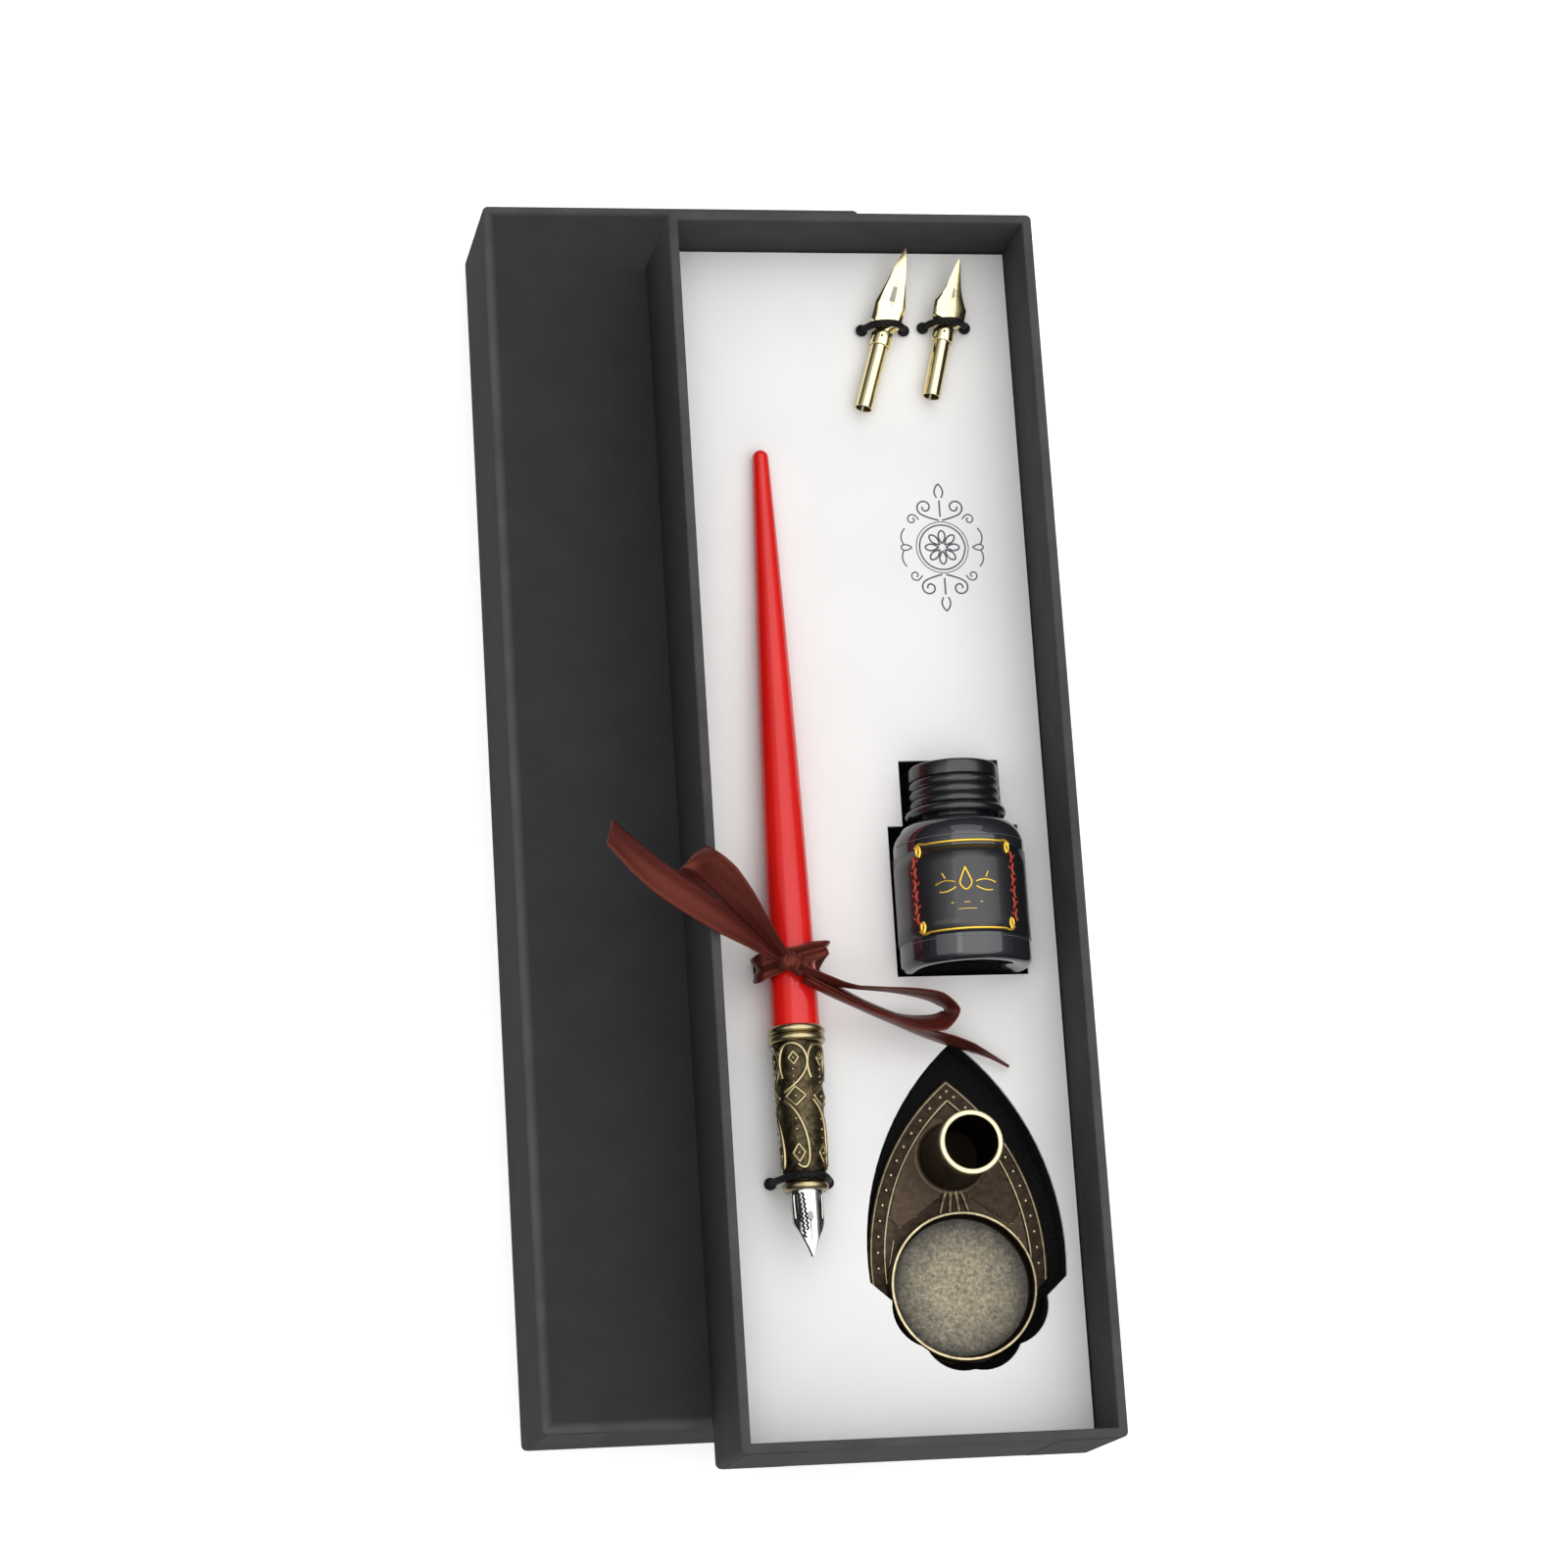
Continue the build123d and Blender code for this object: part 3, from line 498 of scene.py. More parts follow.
def corners_closed(bm, face, inset, rubbed):
    """Goes in until a face's rounded corners run out, makes each one point, and returns the face."""
    ring_on(bm, face, inset, 0.0, rubbed)
    height = face.calc_center_median().z
    bmesh.ops.remove_doubles(bm, verts=face.verts[:], dist=0.2 * MM)
    level = [f for f in bm.faces if all(abs(v.co.z - height) < 1e-7 for v in f.verts)]
    return max(level, key=lambda found: found.calc_area())


def paper_skin(name, low, high, opening, body, node_name, turned_in):
    """Wrapping paper round a box half that is open towards opening, +1 up or -1 down, and down
    its inside as far as turned_in."""
    corner, edge, fold, rub_width, short_by = 1.2, 0.8, 0.35, 1.2, 0.05
    width, length, height = (high - low) / MM
    back = low.z if opening > 0 else high.z
    middle = Vector(((low.x + high.x) / 2, (low.y + high.y) / 2, back + opening * edge * MM))
    bm = bmesh.new()
    placed = Matrix.Translation(middle) @ Matrix.Diagonal((width * MM, length * MM, 1, 1))
    bmesh.ops.create_grid(bm, x_segments=1, y_segments=1, size=0.5, matrix=placed)
    bmesh.ops.bevel(
        bm, geom=bm.verts[:], offset=corner * MM, affect="VERTICES", segments=6, profile=0.5, material=-1
    )
    base = max(bm.faces, key=lambda face: face.calc_area())
    base.normal_update()
    if base.normal.z * opening > 0:
        base.normal_flip()
        base.normal_update()
    made = bmesh.ops.extrude_face_region(bm, geom=[base])["geom"]
    mouth = next(f for f in made if isinstance(f, bmesh.types.BMFace))
    moved = [v for v in made if isinstance(v, bmesh.types.BMVert)]
    bmesh.ops.translate(bm, vec=UP * opening * (height - edge - fold) * MM, verts=moved)
    bmesh.ops.recalc_face_normals(bm, faces=bm.faces)
    # The rubbed values set here make the folds and rim paler: partly wear, partly a painted highlight.
    rounded_ring(bm, base, edge, 1.0, 4)
    base = corners_closed(bm, base, corner - edge - short_by, 0.9)
    ring_on(bm, base, rub_width, 0.0, 0.0)
    rubbed = bright_layer(bm, "rubbed")
    for vert in mouth.verts:
        vert[rubbed] = 0.5
    below_mouth = mouth.calc_center_median() - UP * opening * rub_width * MM
    cut = bmesh.ops.bisect_plane(
        bm, geom=bm.verts[:] + bm.edges[:] + bm.faces[:], plane_co=below_mouth, plane_no=UP
    )
    for vert in (item for item in cut["geom_cut"] if isinstance(item, bmesh.types.BMVert)):
        vert[rubbed] = 0.0
    rounded_ring(bm, mouth, fold, 0.8, 3)
    closing = corner - fold - short_by
    mouth = corners_closed(bm, mouth, closing, 0.8)
    ring_on(bm, mouth, board_wall - 2 * fold - closing, 0.0, 0.8)
    rounded_ring(bm, mouth, fold, 0.6, 3, down=True)
    ring_on(bm, mouth, 0.0, -turned_in, 0.0)
    bmesh.ops.delete(bm, geom=[mouth], context="FACES_ONLY")
    thicken(piece(name, bm, body, charcoal, [node_name], sharp=30), 0.9 * paper_thick, -1)


def corner_flaps(name, low, high, body):
    """The ends of the long sides' paper, folded round the corners and glued on the short sides."""
    reach, thick, clear = 13.0 * MM, 0.12 * MM, 1.3 * MM
    bm = bmesh.new()
    for x, inward in ((low.x + clear, 1), (high.x - clear, -1)):
        for y, outward in ((low.y, -1), (high.y, 1)):
            centre = Vector((x + inward * reach / 2, y + outward * thick / 4, (low.z + high.z) / 2))
            size = (reach, thick, high.z - low.z - 2.4 * MM)
            placed = Matrix.Translation(centre) @ Matrix.Diagonal((*size, 1))
            bmesh.ops.create_cube(bm, size=1, matrix=placed)
    piece(name, bm, body, charcoal)


lid_low, lid_high = (Vector(corner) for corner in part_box("lid_wrap"))
paper_skin("lid_paper", lid_low, lid_high, -1, "lid", "lid_wrap", 18.0)
paper_skin("tray_paper", tray_low, tray_high, 1, "tray", "tray_wrap", 29.0)
corner_flaps("lid_flaps", lid_low, lid_high, "lid")
corner_flaps("tray_flaps", tray_low, tray_high, "tray")

# Pen frame: along the pen from the grip's flange towards the nib, to its side, and up
slide = next(j for j in frame["joints"] if j["name"] == "pen_slide")
pen_axis = Vector(slide["axis"]).normalized()
flange_radius = 6.1
pen_start = tray(-21.4, -44.5, card_face + flange_radius + rest_gap)
pen_side = UP.cross(pen_axis).normalized()
pen_up = pen_axis.cross(pen_side)


def round_pen(along, turn_by, radius):
    """A place at a distance along the pen, turned from its top by an angle, and at a radius."""
    out = pen_side * math.sin(turn_by) + pen_up * math.cos(turn_by)
    return pen_start + (pen_axis * along + out * radius) * MM


def on_pen(along, angle, radius):
    """The same with the angle in degrees."""
    return round_pen(along, math.radians(angle), radius)


handle_length, end_radius, tenon = 129.5, 1.75, 3.4
middle_at, middle_radius, handle_radius = 67.0, 3.95, 5.15
grip_length, barrel_start, neck_start, neck_end, neck_radius = 35.0, 3.6, 31.0, 33.1, 4.15


def handle():
    """The turned taper, with its round end and the tenon inside the grip."""
    shoulder = -(handle_length - end_radius)
    half = end_radius / math.sqrt(2)
    middle = (middle_at - handle_length, middle_radius)
    outline = [(-handle_length, 0)]
    outline += arc((-handle_length, 0), (shoulder - half, half), (shoulder, end_radius), 10)
    outline += arc((shoulder, end_radius), middle, (0, handle_radius), 40)
    outline += [(0, tenon), (9.0, tenon), (9.0, 0)]
    bm = bmesh.new()
    turn(bm, outline, pen_start, pen_axis, pen_up, 128)
    piece("lacquered_handle", bm, "pen", lacquer, ["pen_handle"])


handle()


def grip_radius(along):
    """The grip's outer radius between its flange and its neck."""
    share = (along - barrel_start) / (neck_start - barrel_start)
    return 5.1 - 0.5 * share + 0.1 * math.sin(math.pi * share)


def grip_motif(bm, centre):
    """One of the five raised scroll panels, centred on an angle in degrees round the grip."""
    reach = 60.0

    def on_grip(points, lift=0.02):
        return [on_pen(a, centre + x * reach, grip_radius(a) + lift) for x, a in points]

    # Points are (share of the panel's reach from its middle, distance from the flange)
    hook = [(-0.52, 11.6), (-0.66, 9.6), (-0.62, 6.6), (-0.42, 4.5), (-0.1, 4.0), (0.26, 4.6)]
    hook += [(0.5, 6.2), (0.58, 8.2), (0.42, 10.6), (0.12, 12.4), (-0.2, 13.6), (-0.46, 14.4)]
    tail = [(-0.5, 16.1), (-0.26, 17.2), (0.04, 19.2), (0.3, 22.2), (0.44, 25.4)]
    tail += [(0.46, 28.4), (0.34, 30.4), (0.1, 30.6), (-0.06, 29.8)]
    for scroll in (hook, tail):
        wire(bm, on_grip(scroll), 0.42)
    # Diamonds with a bead in each: middle, half width, half height and thickness
    for middle, wide, tall, thick in ((7.3, 0.2, 1.35, 0.3), (15.4, 0.42, 2.0, 0.32), (27.4, 0.26, 1.9, 0.3)):
        corners = [(0, middle - tall), (wide, middle), (0, middle + tall), (-wide, middle)]
        sides = []
        for here, there in zip(corners, corners[1:] + corners[:1]):
            sides += [here, tuple((9 * p + q) / 10 for p, q in zip(here, there))]
            sides += [tuple((p + 9 * q) / 10 for p, q in zip(here, there))]
        wire(bm, on_grip(sides), thick, 0.9, closed=True)
        dot(bm, on_grip([(0, middle)], 0.0)[0], 0.36)
    beads = {9.7: 0.4, 11.2: 0.34, 12.4: 0.28, 18.6: 0.28, 20.2: 0.38, 22.4: 0.46, 24.2: 0.32}
    for along, size in beads.items():
        dot(bm, on_grip([(-0.04, along)], 0.0)[0], size, 0.8, level=1)


def grip():
    """The cast grip: two ring beads, five scroll panels, a neck for the elastic and an end ring."""
    panels, bead, bore, bore_end, steps = 5, 0.9, 4.0, 17.0, 30
    inner = flange_radius - bead
    first = arc((0, inner), (bead, flange_radius), (2 * bead, inner), 10)
    second = arc((2 * bead, inner), (3 * bead, flange_radius), (4 * bead, inner), 10)
    outline = [(0, tenon + 0.05, 0.3), (0, inner, 0.6)]
    outline += [(a, r, 0.95) for a, r in first]
    outline += [(2 * bead, inner, 0.1)]
    outline += [(a, r, 0.85) for a, r in second]
    outline += [(4 * bead, 5.2, 0.0)]
    for i in range(steps + 1):
        along = barrel_start + (neck_start - barrel_start) * i / steps
        rubbed = 0.1 + 0.1 * math.sin(math.pi * i / steps)
        outline.append((along, grip_radius(along) - 0.12, rubbed))
    outline += [(neck_start, neck_radius, 0.1), (neck_end, neck_radius, 0.1)]
    end_ring = arc((neck_end, neck_radius), (34.05, 4.85), (grip_length, neck_radius), 10)
    outline += [(a, r, 0.8) for a, r in end_ring]
    outline += [(grip_length, bore, 0.6), (bore_end, bore, 0.0), (bore_end, 0, 0.0)]
    bm = bmesh.new()
    turn(bm, outline, pen_start, pen_axis, pen_up, 144)
    for panel in range(panels):
        grip_motif(bm, -22.0 + 360 / panels * panel)
    piece("scrolled_grip", bm, "pen", grip_brass, ["pen_grip"], sharp=50)


grip()


# Nibs: flat blanks cut to an outline and rolled round their axis
def mirrored(shares):
    """The shares of a half width on both sides of the middle line."""
    return [-share for share in shares[::-1]] + shares


def rolled_leaf(bm, place, rows, columns, cut):
    """A sheet rolled about an axis. rows gives (along, half width, roll radius, more for place)
    and columns the shares of the half width; cut says which cells are holes."""
    across, down = len(columns) - 1, len(rows) - 1
    made = bmesh.ops.create_grid(bm, x_segments=across, y_segments=down, size=1)
    cells = {}
    for vert in made["verts"]:
        i = round((vert.co.x + 1) / 2 * across)
        j = round((vert.co.y + 1) / 2 * down)
        along, half, roll, more = rows[j]
        vert.co = place(along, columns[i] * half / roll, *more)
        cells[vert] = (i, j)
    holes = []
    for face in bm.faces:
        spots = [cells[v] for v in face.verts if v in cells]
        if len(spots) == 4 and cut(min(s[0] for s in spots), min(s[1] for s in spots)):
            holes.append(face)
    bmesh.ops.delete(bm, geom=holes, context="FACES_ONLY")


def pen_nib():
    """The steel nib: a rolled body in the sleeve, slit sides, a vent and two tines."""
    columns = mirrored([0.016, 0.1, 0.25, 0.4, 0.52, 0.68, 0.85, 1])
    first, last, shoulder = grip_length - 15.8, grip_length + 14.2, grip_length + 6.6
    roll, body_half, shoulder_half, steps = 3.42, 5.0, 4.5, 60
    taper = grip_length + 0.5
    rows = []
    for i in range(steps + 1):
        along = first + (last - first) * i / steps
        if along < taper:
            half = body_half
        elif along < shoulder:
            share = (along - taper) / (shoulder - taper)
            half = body_half - (body_half - shoulder_half) * share * share
        else:
            share = (along - shoulder) / (last - shoulder)
            hollow = 1 - 0.25 * math.sin(math.pi * share)
            half = shoulder_half * (1 - share) ** 1.25 * hollow + 0.12
        rows.append((along, half, roll, (roll,)))

    def cut(i, j):
        along = rows[j][0]
        side_slit = i in (2, 12) and grip_length + 0.4 < along < grip_length + 6.0
        vent = i in (6, 7, 8) and shoulder - 2.2 < along < shoulder - 0.6
        slit = i == 7 and along > shoulder - 1.2
        return side_slit or vent or slit

    bm = bmesh.new()
    rolled_leaf(bm, round_pen, rows, columns, cut)
    thicken(piece("steel_nib", bm, "nib", bright_steel, ["pen_nib"], sharp=60), 0.26)


pen_nib()


def nib_engraving_and_shade():
    """Saw-tooth lines stamped down the nib's left side, dark strips under its two side slits and a dark line
    along its left edge, which paint the shade seen through the slits and under the nib.
    """
    bm = bmesh.new()
    for angle, swing, count in ((-36, 7, 20), (-22, 6, 17)):
        points = []
        for i in range(count):
            along = grip_length + 0.6 + 0.5 * i
            points.append(on_pen(along, angle + (swing if i % 2 else -swing) + 0.7 * i, 3.57))
        wire(bm, points, 0.24, 0.0, sides=1, resolution=3)
    # Painted shade: dark strips under the two side slits, where the card in shadow would show through.
    for angle in (-50, 50):
        points = [on_pen(grip_length + along, angle, 2.9) for along in (-0.5, 2.0, 4.5, 6.3)]
        wire(bm, points, 0.52, 0.0)
    # Painted shade: a dark line along the left edge towards the tip, for the shade of the nib's underside.
    edge = [(5.6, -62), (7.6, -50), (9.4, -34), (11.2, -20), (12.8, -9), (14.1, -2)]
    wire(bm, [on_pen(grip_length + along, angle, 3.5) for along, angle in edge], 0.2, 0.0)
    piece("nib_engraving_and_shade", bm, "nib", dark_steel_and_shade)


nib_engraving_and_shade()

# Where each spare nib's foot is in the tray, and how far it leans in degrees
spare_feet = {"left": ((3.4, 94.4), 17.5), "right": ((18.9, 97.2), 14.6)}


def spare_frame(side, height):
    """A spare nib's foot at a height in the tray, the way that it points and the way across it."""
    (x, y), angle = spare_feet[side]
    lean = math.radians(angle)
    along_dir = Vector((math.sin(lean), math.cos(lean), 0))
    return tray(x, y, height), along_dir, Vector((along_dir.y, -along_dir.x, 0))


def spare_nib(name, side, length, blade, half, widest, hollow, upturn, roll, slot):
    """A gilt nib: a rolled shank with its seam below, a collar, and a blade with a flat panel
    and turned-down sides."""
    shank, rest_radius = 2.02, 2.45
    origin, along_dir, across = spare_frame(side, card_face + rest_radius + rest_gap)
    start = length - blade
    fall = math.radians(41)

    def place(along, turn_by, opened, flat):
        """The sheet is a tube where opened is 0, and a panel with two sides where it is 1."""
        x, z = math.sin(turn_by) * shank, math.cos(turn_by) * shank
        if opened > 0:
            gone = turn_by * shank
            past = max(abs(gone) - flat, 0.0)
            flat_x = math.copysign(1, gone) * (min(abs(gone), flat) + past * math.cos(fall))
            flat_z = shank - past * math.sin(fall) - 0.05 * min(abs(gone), flat) ** 2 / max(flat, 0.1)
            x += (flat_x - x) * opened
            z += (flat_z - z) * opened
        tip = math.radians(roll) * opened
        x, z = x * math.cos(tip) - (z - shank) * math.sin(tip), z - x * math.sin(tip)
        z += upturn * max((along - start) / blade - 0.5, 0.0) ** 2
        return origin + (along_dir * along + across * x + UP * z) * MM

    columns = mirrored([0.03, 0.2, 0.4, 0.58, 0.66, 0.76, 0.88, 1])
    shank_half = math.pi * shank - 0.3
    steps, blade_steps = 16, 60
    rows = [((start - 1.2) * i / steps, shank_half, shank, (0.0, shank_half)) for i in range(steps + 1)]
    for i in range(blade_steps + 1):
        share = i / blade_steps
        opening = min(share / 0.16, 1.0)
        opened = opening * opening * (3 - 2 * opening)
        panel = 0.6 + 0.4 * min(share / 0.75, 1.0)
        spread = 1 / (panel + (1 - panel) * math.cos(fall))
        if share < widest:
            swell = half * (0.93 + 0.07 * math.sin(math.pi / 2 * share / widest))
        else:
            close = (share - widest) / (1 - widest)
            swell = half * (1 - close) * (1 - hollow * math.sin(math.pi * close)) + 0.1
        width = shank_half + (swell * spread - shank_half) * opened
        rows.append((start - 0.4 + (blade + 0.4) * share, width, shank, (opened, width * panel)))

    slot_from, slot_to, slot_columns = slot

    def cut(i, j):
        share = (rows[j][0] - start) / blade
        end = 0.05 if i != 7 else 0.0
        in_slot = i in slot_columns and slot_from + end < share < slot_to - end
        return in_slot or i == 7 and share > slot_to - 0.02

    bm = bmesh.new()
    rolled_leaf(bm, place, rows, columns, cut)
    bmesh.ops.remove_doubles(bm, verts=bm.verts, dist=0.001 * MM)
    bmesh.ops.recalc_face_normals(bm, faces=bm.faces)
    bmesh.ops.solidify(bm, geom=bm.faces[:], thickness=0.2 * MM)
    collar = [(3.6, 2.08), (3.5, 2.3), (3.1, 2.42), (0.7, 2.42), (0.3, 2.3), (0.2, 2.08)]
    turn(bm, [(start - back, r, 1) for back, r in collar], origin, along_dir, UP, 48, closed=True)
    piece(name, bm, side + "_spare_nib", gilt, ["spare_nib_" + side], sharp=35)
    marks = bmesh.new()
    spot = origin + (along_dir * (start - 1.7) + UP * 2.38 - across * 0.3) * MM
    dot(marks, spot, 0.3, 0.0, squash=0.4)
    piece(name + "_stamp", marks, side + "_spare_nib", dark_steel_and_shade)


spare_nib(
    "gilt_nib_slender", "left", length=38.6, blade=20.0, half=3.4, widest=0.3, hollow=0.0, upturn=1.8,
    roll=0.0, slot=(0.28, 0.56, (6, 7, 8)),
)
spare_nib(
    "gilt_nib_broad", "right", length=32.6, blade=16.0, half=3.9, widest=0.32, hollow=0.3, upturn=1.0,
    roll=13.0, slot=(0.36, 0.6, (7, 8)),
)


# Elastic loops, each through two holes in the card with a knob pulled up at each hole
def elastic_loop(name, centre, side, half, crown, node_name):
    """A covered cord from hole to hole over what it holds."""
    rise = [(half, -0.7), (half + 0.1, 0.5), (half * 0.93, crown * 0.42), (half * 0.6, crown * 0.86)]
    rise += [(half * 0.28, crown)]
    shape = [(-x, z) for x, z in rise] + rise[::-1]
    bm = bmesh.new()
    wire(bm, [centre + (side * x + UP * z) * MM for x, z in shape], 0.78, 0.0, sides=4, resolution=8)
    for end in (-1, 1):
        dot(bm, centre + (side * end * (half + 0.15) + UP * 0.8) * MM, 1.35, 0.0, level=3, squash=0.85)
    piece(name, bm, "insert", elastic_braid, [node_name])


neck_at = on_pen((neck_start + neck_end) / 2, 0, 0)
below_neck = card_under(neck_at)
neck_top = (neck_at.z - below_neck.z) / MM + neck_radius
elastic_loop("grip_elastic", below_neck, pen_side, 6.0, neck_top + 0.8, "pen_elastic")
for side, along in (("left", 19.7), ("right", 17.2)):
    foot, along_dir, across = spare_frame(side, card_face)
    crossing = foot + along_dir * along * MM
    elastic_loop("nib_loop_" + side, crossing, RIGHT, 4.6, 5.9, "nib_elastic_" + side)

# Ribbon: each free length is a row of stations, with the ribbon's middle from the knot's middle
# and half of its width as a vector, narrow where it is bunched
ribbon_width, ribbon_at, ribbon_thick = 6.4, 14.5, 0.25
wrap_centre = on_pen(-ribbon_at, 0, 0)
handle_there = handle_radius + (middle_radius - handle_radius) * ribbon_at / (handle_length - middle_at)
wrap_inside = handle_there + 0.3 + ribbon_thick
knot_centre = wrap_centre + Vector((-1.2, -1.8, wrap_inside + ribbon_thick + 1.8)) * MM
ribbon_lengths = {
    "ribbon_tail_left": [
        ((-2.3, 1.1, -0.4), (1.0, 1.3, -0.9)),
        ((-6.9, 3.3, 2.4), (1.5, 2.0, -1.4)),
        ((-13.9, 7.1, 6.2), (2.0, 2.7, -1.0)),
        ((-22.2, 11.7, 9.4), (2.1, 2.9, -0.7)),
        ((-29.5, 16.2, 11.4), (2.3, 2.7, -0.8)),
        ((-35.1, 21.3, 12.4), (2.3, 2.4, -1.3)),
        ((-40.5, 27.0, 12.6), (2.0, 2.0, -1.8)),
    ],
    "ribbon_loop_left": [
        ((-2.1, 1.3, 1.8), (0.5, 0.2, 1.5)),
        ((-5.8, 5.2, 4.8), (1.2, 0.6, 2.5)),
        ((-10.3, 9.9, 8.4), (1.9, 1.2, 2.8)),
        ((-14.8, 14.7, 11.6), (2.3, 1.7, 2.5)),
        ((-18.7, 18.2, 13.4), (2.1, 1.7, 2.6)),
        ((-22.3, 21.1, 11.2), (2.6, 2.5, -0.2)),
        ((-21.6, 18.9, 7.8), (2.6, 2.5, -0.4)),
        ((-18.5, 15.2, 5.8), (2.5, 2.4, -0.6)),
        ((-14.1, 10.8, 4.2), (2.2, 2.2, -1.0)),
        ((-8.1, 5.4, 2.6), (1.6, 1.7, -1.1)),
        ((-2.2, 1.0, 0.8), (0.8, 0.9, -0.9)),
    ],
    "ribbon_loop_right": [
        ((1.1, -1.4, 1.6), (-0.2, -0.6, -1.6)),
        ((5.8, -3.5, 0.8), (0.1, -0.4, -2.2)),
        ((11.7, -5.3, -0.4), (0.5, 0.2, -2.7)),
        ((19.3, -5.7, -1.8), (0.7, 0.1, -3.3)),
        ((26.8, -6.3, -3.0), (0.6, -0.3, -3.6)),
        ((32.4, -7.5, -4.0), (0.1, -0.6, -3.7)),
        ((35.3, -10.2, -4.6), (-1.0, 0.6, -3.5)),
        ((32.4, -12.8, -4.2), (0.1, 2.5, -2.5)),
        ((26.5, -12.8, -4.0), (1.0, 2.1, -2.8)),
        ((20.0, -10.7, -3.6), (1.0, 1.3, -3.1)),
        ((12.0, -7.4, -2.2), (0.9, 1.2, -2.3)),
        ((2.8, -2.6, -0.0), (0.8, 1.1, -0.9)),
    ],
    "ribbon_tail_right": [
        ((2.1, -3.2, -0.2), (-0.3, -0.7, -1.4)),
        ((10.5, -7.4, -2.2), (0.2, -0.1, -2.8)),
        ((20.6, -11.4, -4.8), (0.4, -0.1, -3.4)),
        ((30.0, -14.7, -7.0), (0.4, -0.3, -3.7)),
        ((36.1, -16.2, -8.6), (0.4, -0.5, -3.7)),
        ((41.4, -17.9, -9.9), (0.3, -0.3, -3.4)),
        ((47.8, -21.1, -11.4), (0.1, -0.0, -0.6)),
    ],
}


def band(bm, line, sides, camber, ripple, columns=10, set_back=0.0):
    """Adds a flat band along a line between its half widths, with its UV map in centimetres.
    Its last edge is cut slanting, with one corner set back. Returns its length in metres."""
    rows = len(line) - 1
    uv = bm.loops.layers.uv.new("ribbon")
    made = bmesh.ops.create_grid(bm, x_segments=rows, y_segments=columns, size=1)
    reach = [0.0]
    for here, there in zip(line, line[1:]):
        reach.append(reach[-1] + (there - here).length)
    spots = {}
    for vert in made["verts"]:
        i = round((vert.co.x + 1) / 2 * rows)
        u = vert.co.y
        tangent = (line[min(i + 1, rows)] - line[max(i - 1, 0)]).normalized()
        at = i / rows * (len(sides) - 1)
        low = min(int(at), len(sides) - 2)
        side = sides[low].lerp(sides[low + 1], at - low)
        out = side.cross(tangent).normalized()
        bow = camber * (1 - u * u) + ripple * math.sin(5.5 * u + 0.6)
        back = set_back * (1 - u) / 2 * max(0.0, (i - rows * 0.86) / (rows * 0.14))
        vert.co = line[i] + (side * u + out * bow - tangent * back) * MM
        spots[vert] = (u * side.length / 10, reach[i] * 100)
    for vert, spot in spots.items():
        for loop in vert.link_loops:
            loop[uv].uv = spot
    return reach[-1]


def satin_piece(name, bm, node_name):
    """A piece of the ribbon."""
    return piece(name, bm, "insert", burgundy, [node_name], sharp=80)


def free_ribbon(name, stations):
    """One free length of the ribbon, as a flat band."""
    line = smooth_line([knot_centre + Vector(middle) * MM for middle, half in stations], 10)
    sides = [Vector(half) for middle, half in stations]
    bm = bmesh.new()
    long = band(bm, line, sides, 0.3, 0.1, set_back=3.0 if name == "ribbon_tail_left" else 0.0)
    made = satin_piece(name.replace("ribbon", "satin"), bm, name)
    thicken(made, ribbon_thick)
    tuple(line[0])
    "bare" if "tail" in name else "object"


for name, stations in ribbon_lengths.items():
    free_ribbon(name, stations)


def ribbon_wrap():
    """The ribbon's turn round the handle, from slit to slit, with a puff at each side."""
    foot = card_under(wrap_centre)
    top = (wrap_centre.z - foot.z) / MM + wrap_inside
    shape = [(-6.9, -0.5), (-7.4, 1.6), (-8.6, 4.6), (-9.0, 8.0), (-7.6, 10.6), (-5.2, top - 0.6)]
    shape += [(-2.4, top + 0.4), (0, top + 0.6), (2.4, top + 0.4), (5.0, top - 0.4), (7.2, 11.0)]
    shape += [(8.0, 8.6), (7.6, 5.0), (7.2, 1.6), (6.9, -0.5)]
    skew = 0.28
    points = [foot + (pen_side * x + UP * z - pen_axis * skew * x * min(z / 6, 1)) * MM for x, z in shape]
    sides = [pen_axis * -half for half in (1.2, 2.4, 3.0, 2.6, 2.0, 2.1, 1.3, 1.2, 1.0)]
    bm = bmesh.new()
    band(bm, smooth_line(points, 8), sides, 0.9, 0.25, columns=14)
    thicken(satin_piece("satin_wrap", bm, "ribbon_wrap"), ribbon_thick)


ribbon_wrap()


def ribbon_knot():
    """The pulled knot: a bunched lump, folded along the way its last turn crosses it."""
    bm = bmesh.new()
    uv = bm.loops.layers.uv.new("ribbon")
    made = bmesh.ops.create_icosphere(bm, subdivisions=5, radius=1.0)
    turned = Matrix.Rotation(math.radians(-26), 3, "Z")
    for vert in made["verts"]:
        x, y, z = vert.co
        pinch = 0.72 + 0.28 * abs(x) ** 0.7
        folds = 1 + 0.1 * math.sin(9 * x + 2.2 * y) * (1 - abs(y) * 0.4) + 0.06 * math.sin(17 * x - 3 * z)
        shaped = Vector((x * 4.3, y * 2.7 * pinch * folds, z * 2.1 * pinch * folds))
        vert.co = knot_centre + turned @ shaped * MM
        for loop in vert.link_loops:
            loop[uv].uv = (x * 0.4, y * 0.4 + z * 0.3)
    satin_piece("satin_knot", bm, "ribbon_knot")


ribbon_knot()

# Ink bottle, lying with its axis along the tray
bottle_axis = Vector((0, 1, 0))
bottle_radius, glass_inside, neck_outside, neck_inside, neck_foot = 14.1, 12.6, 8.5, 7.0, 32.5
bottle_start = tray(17.2, -32.4, foam_floor + rest_gap + bottle_radius)


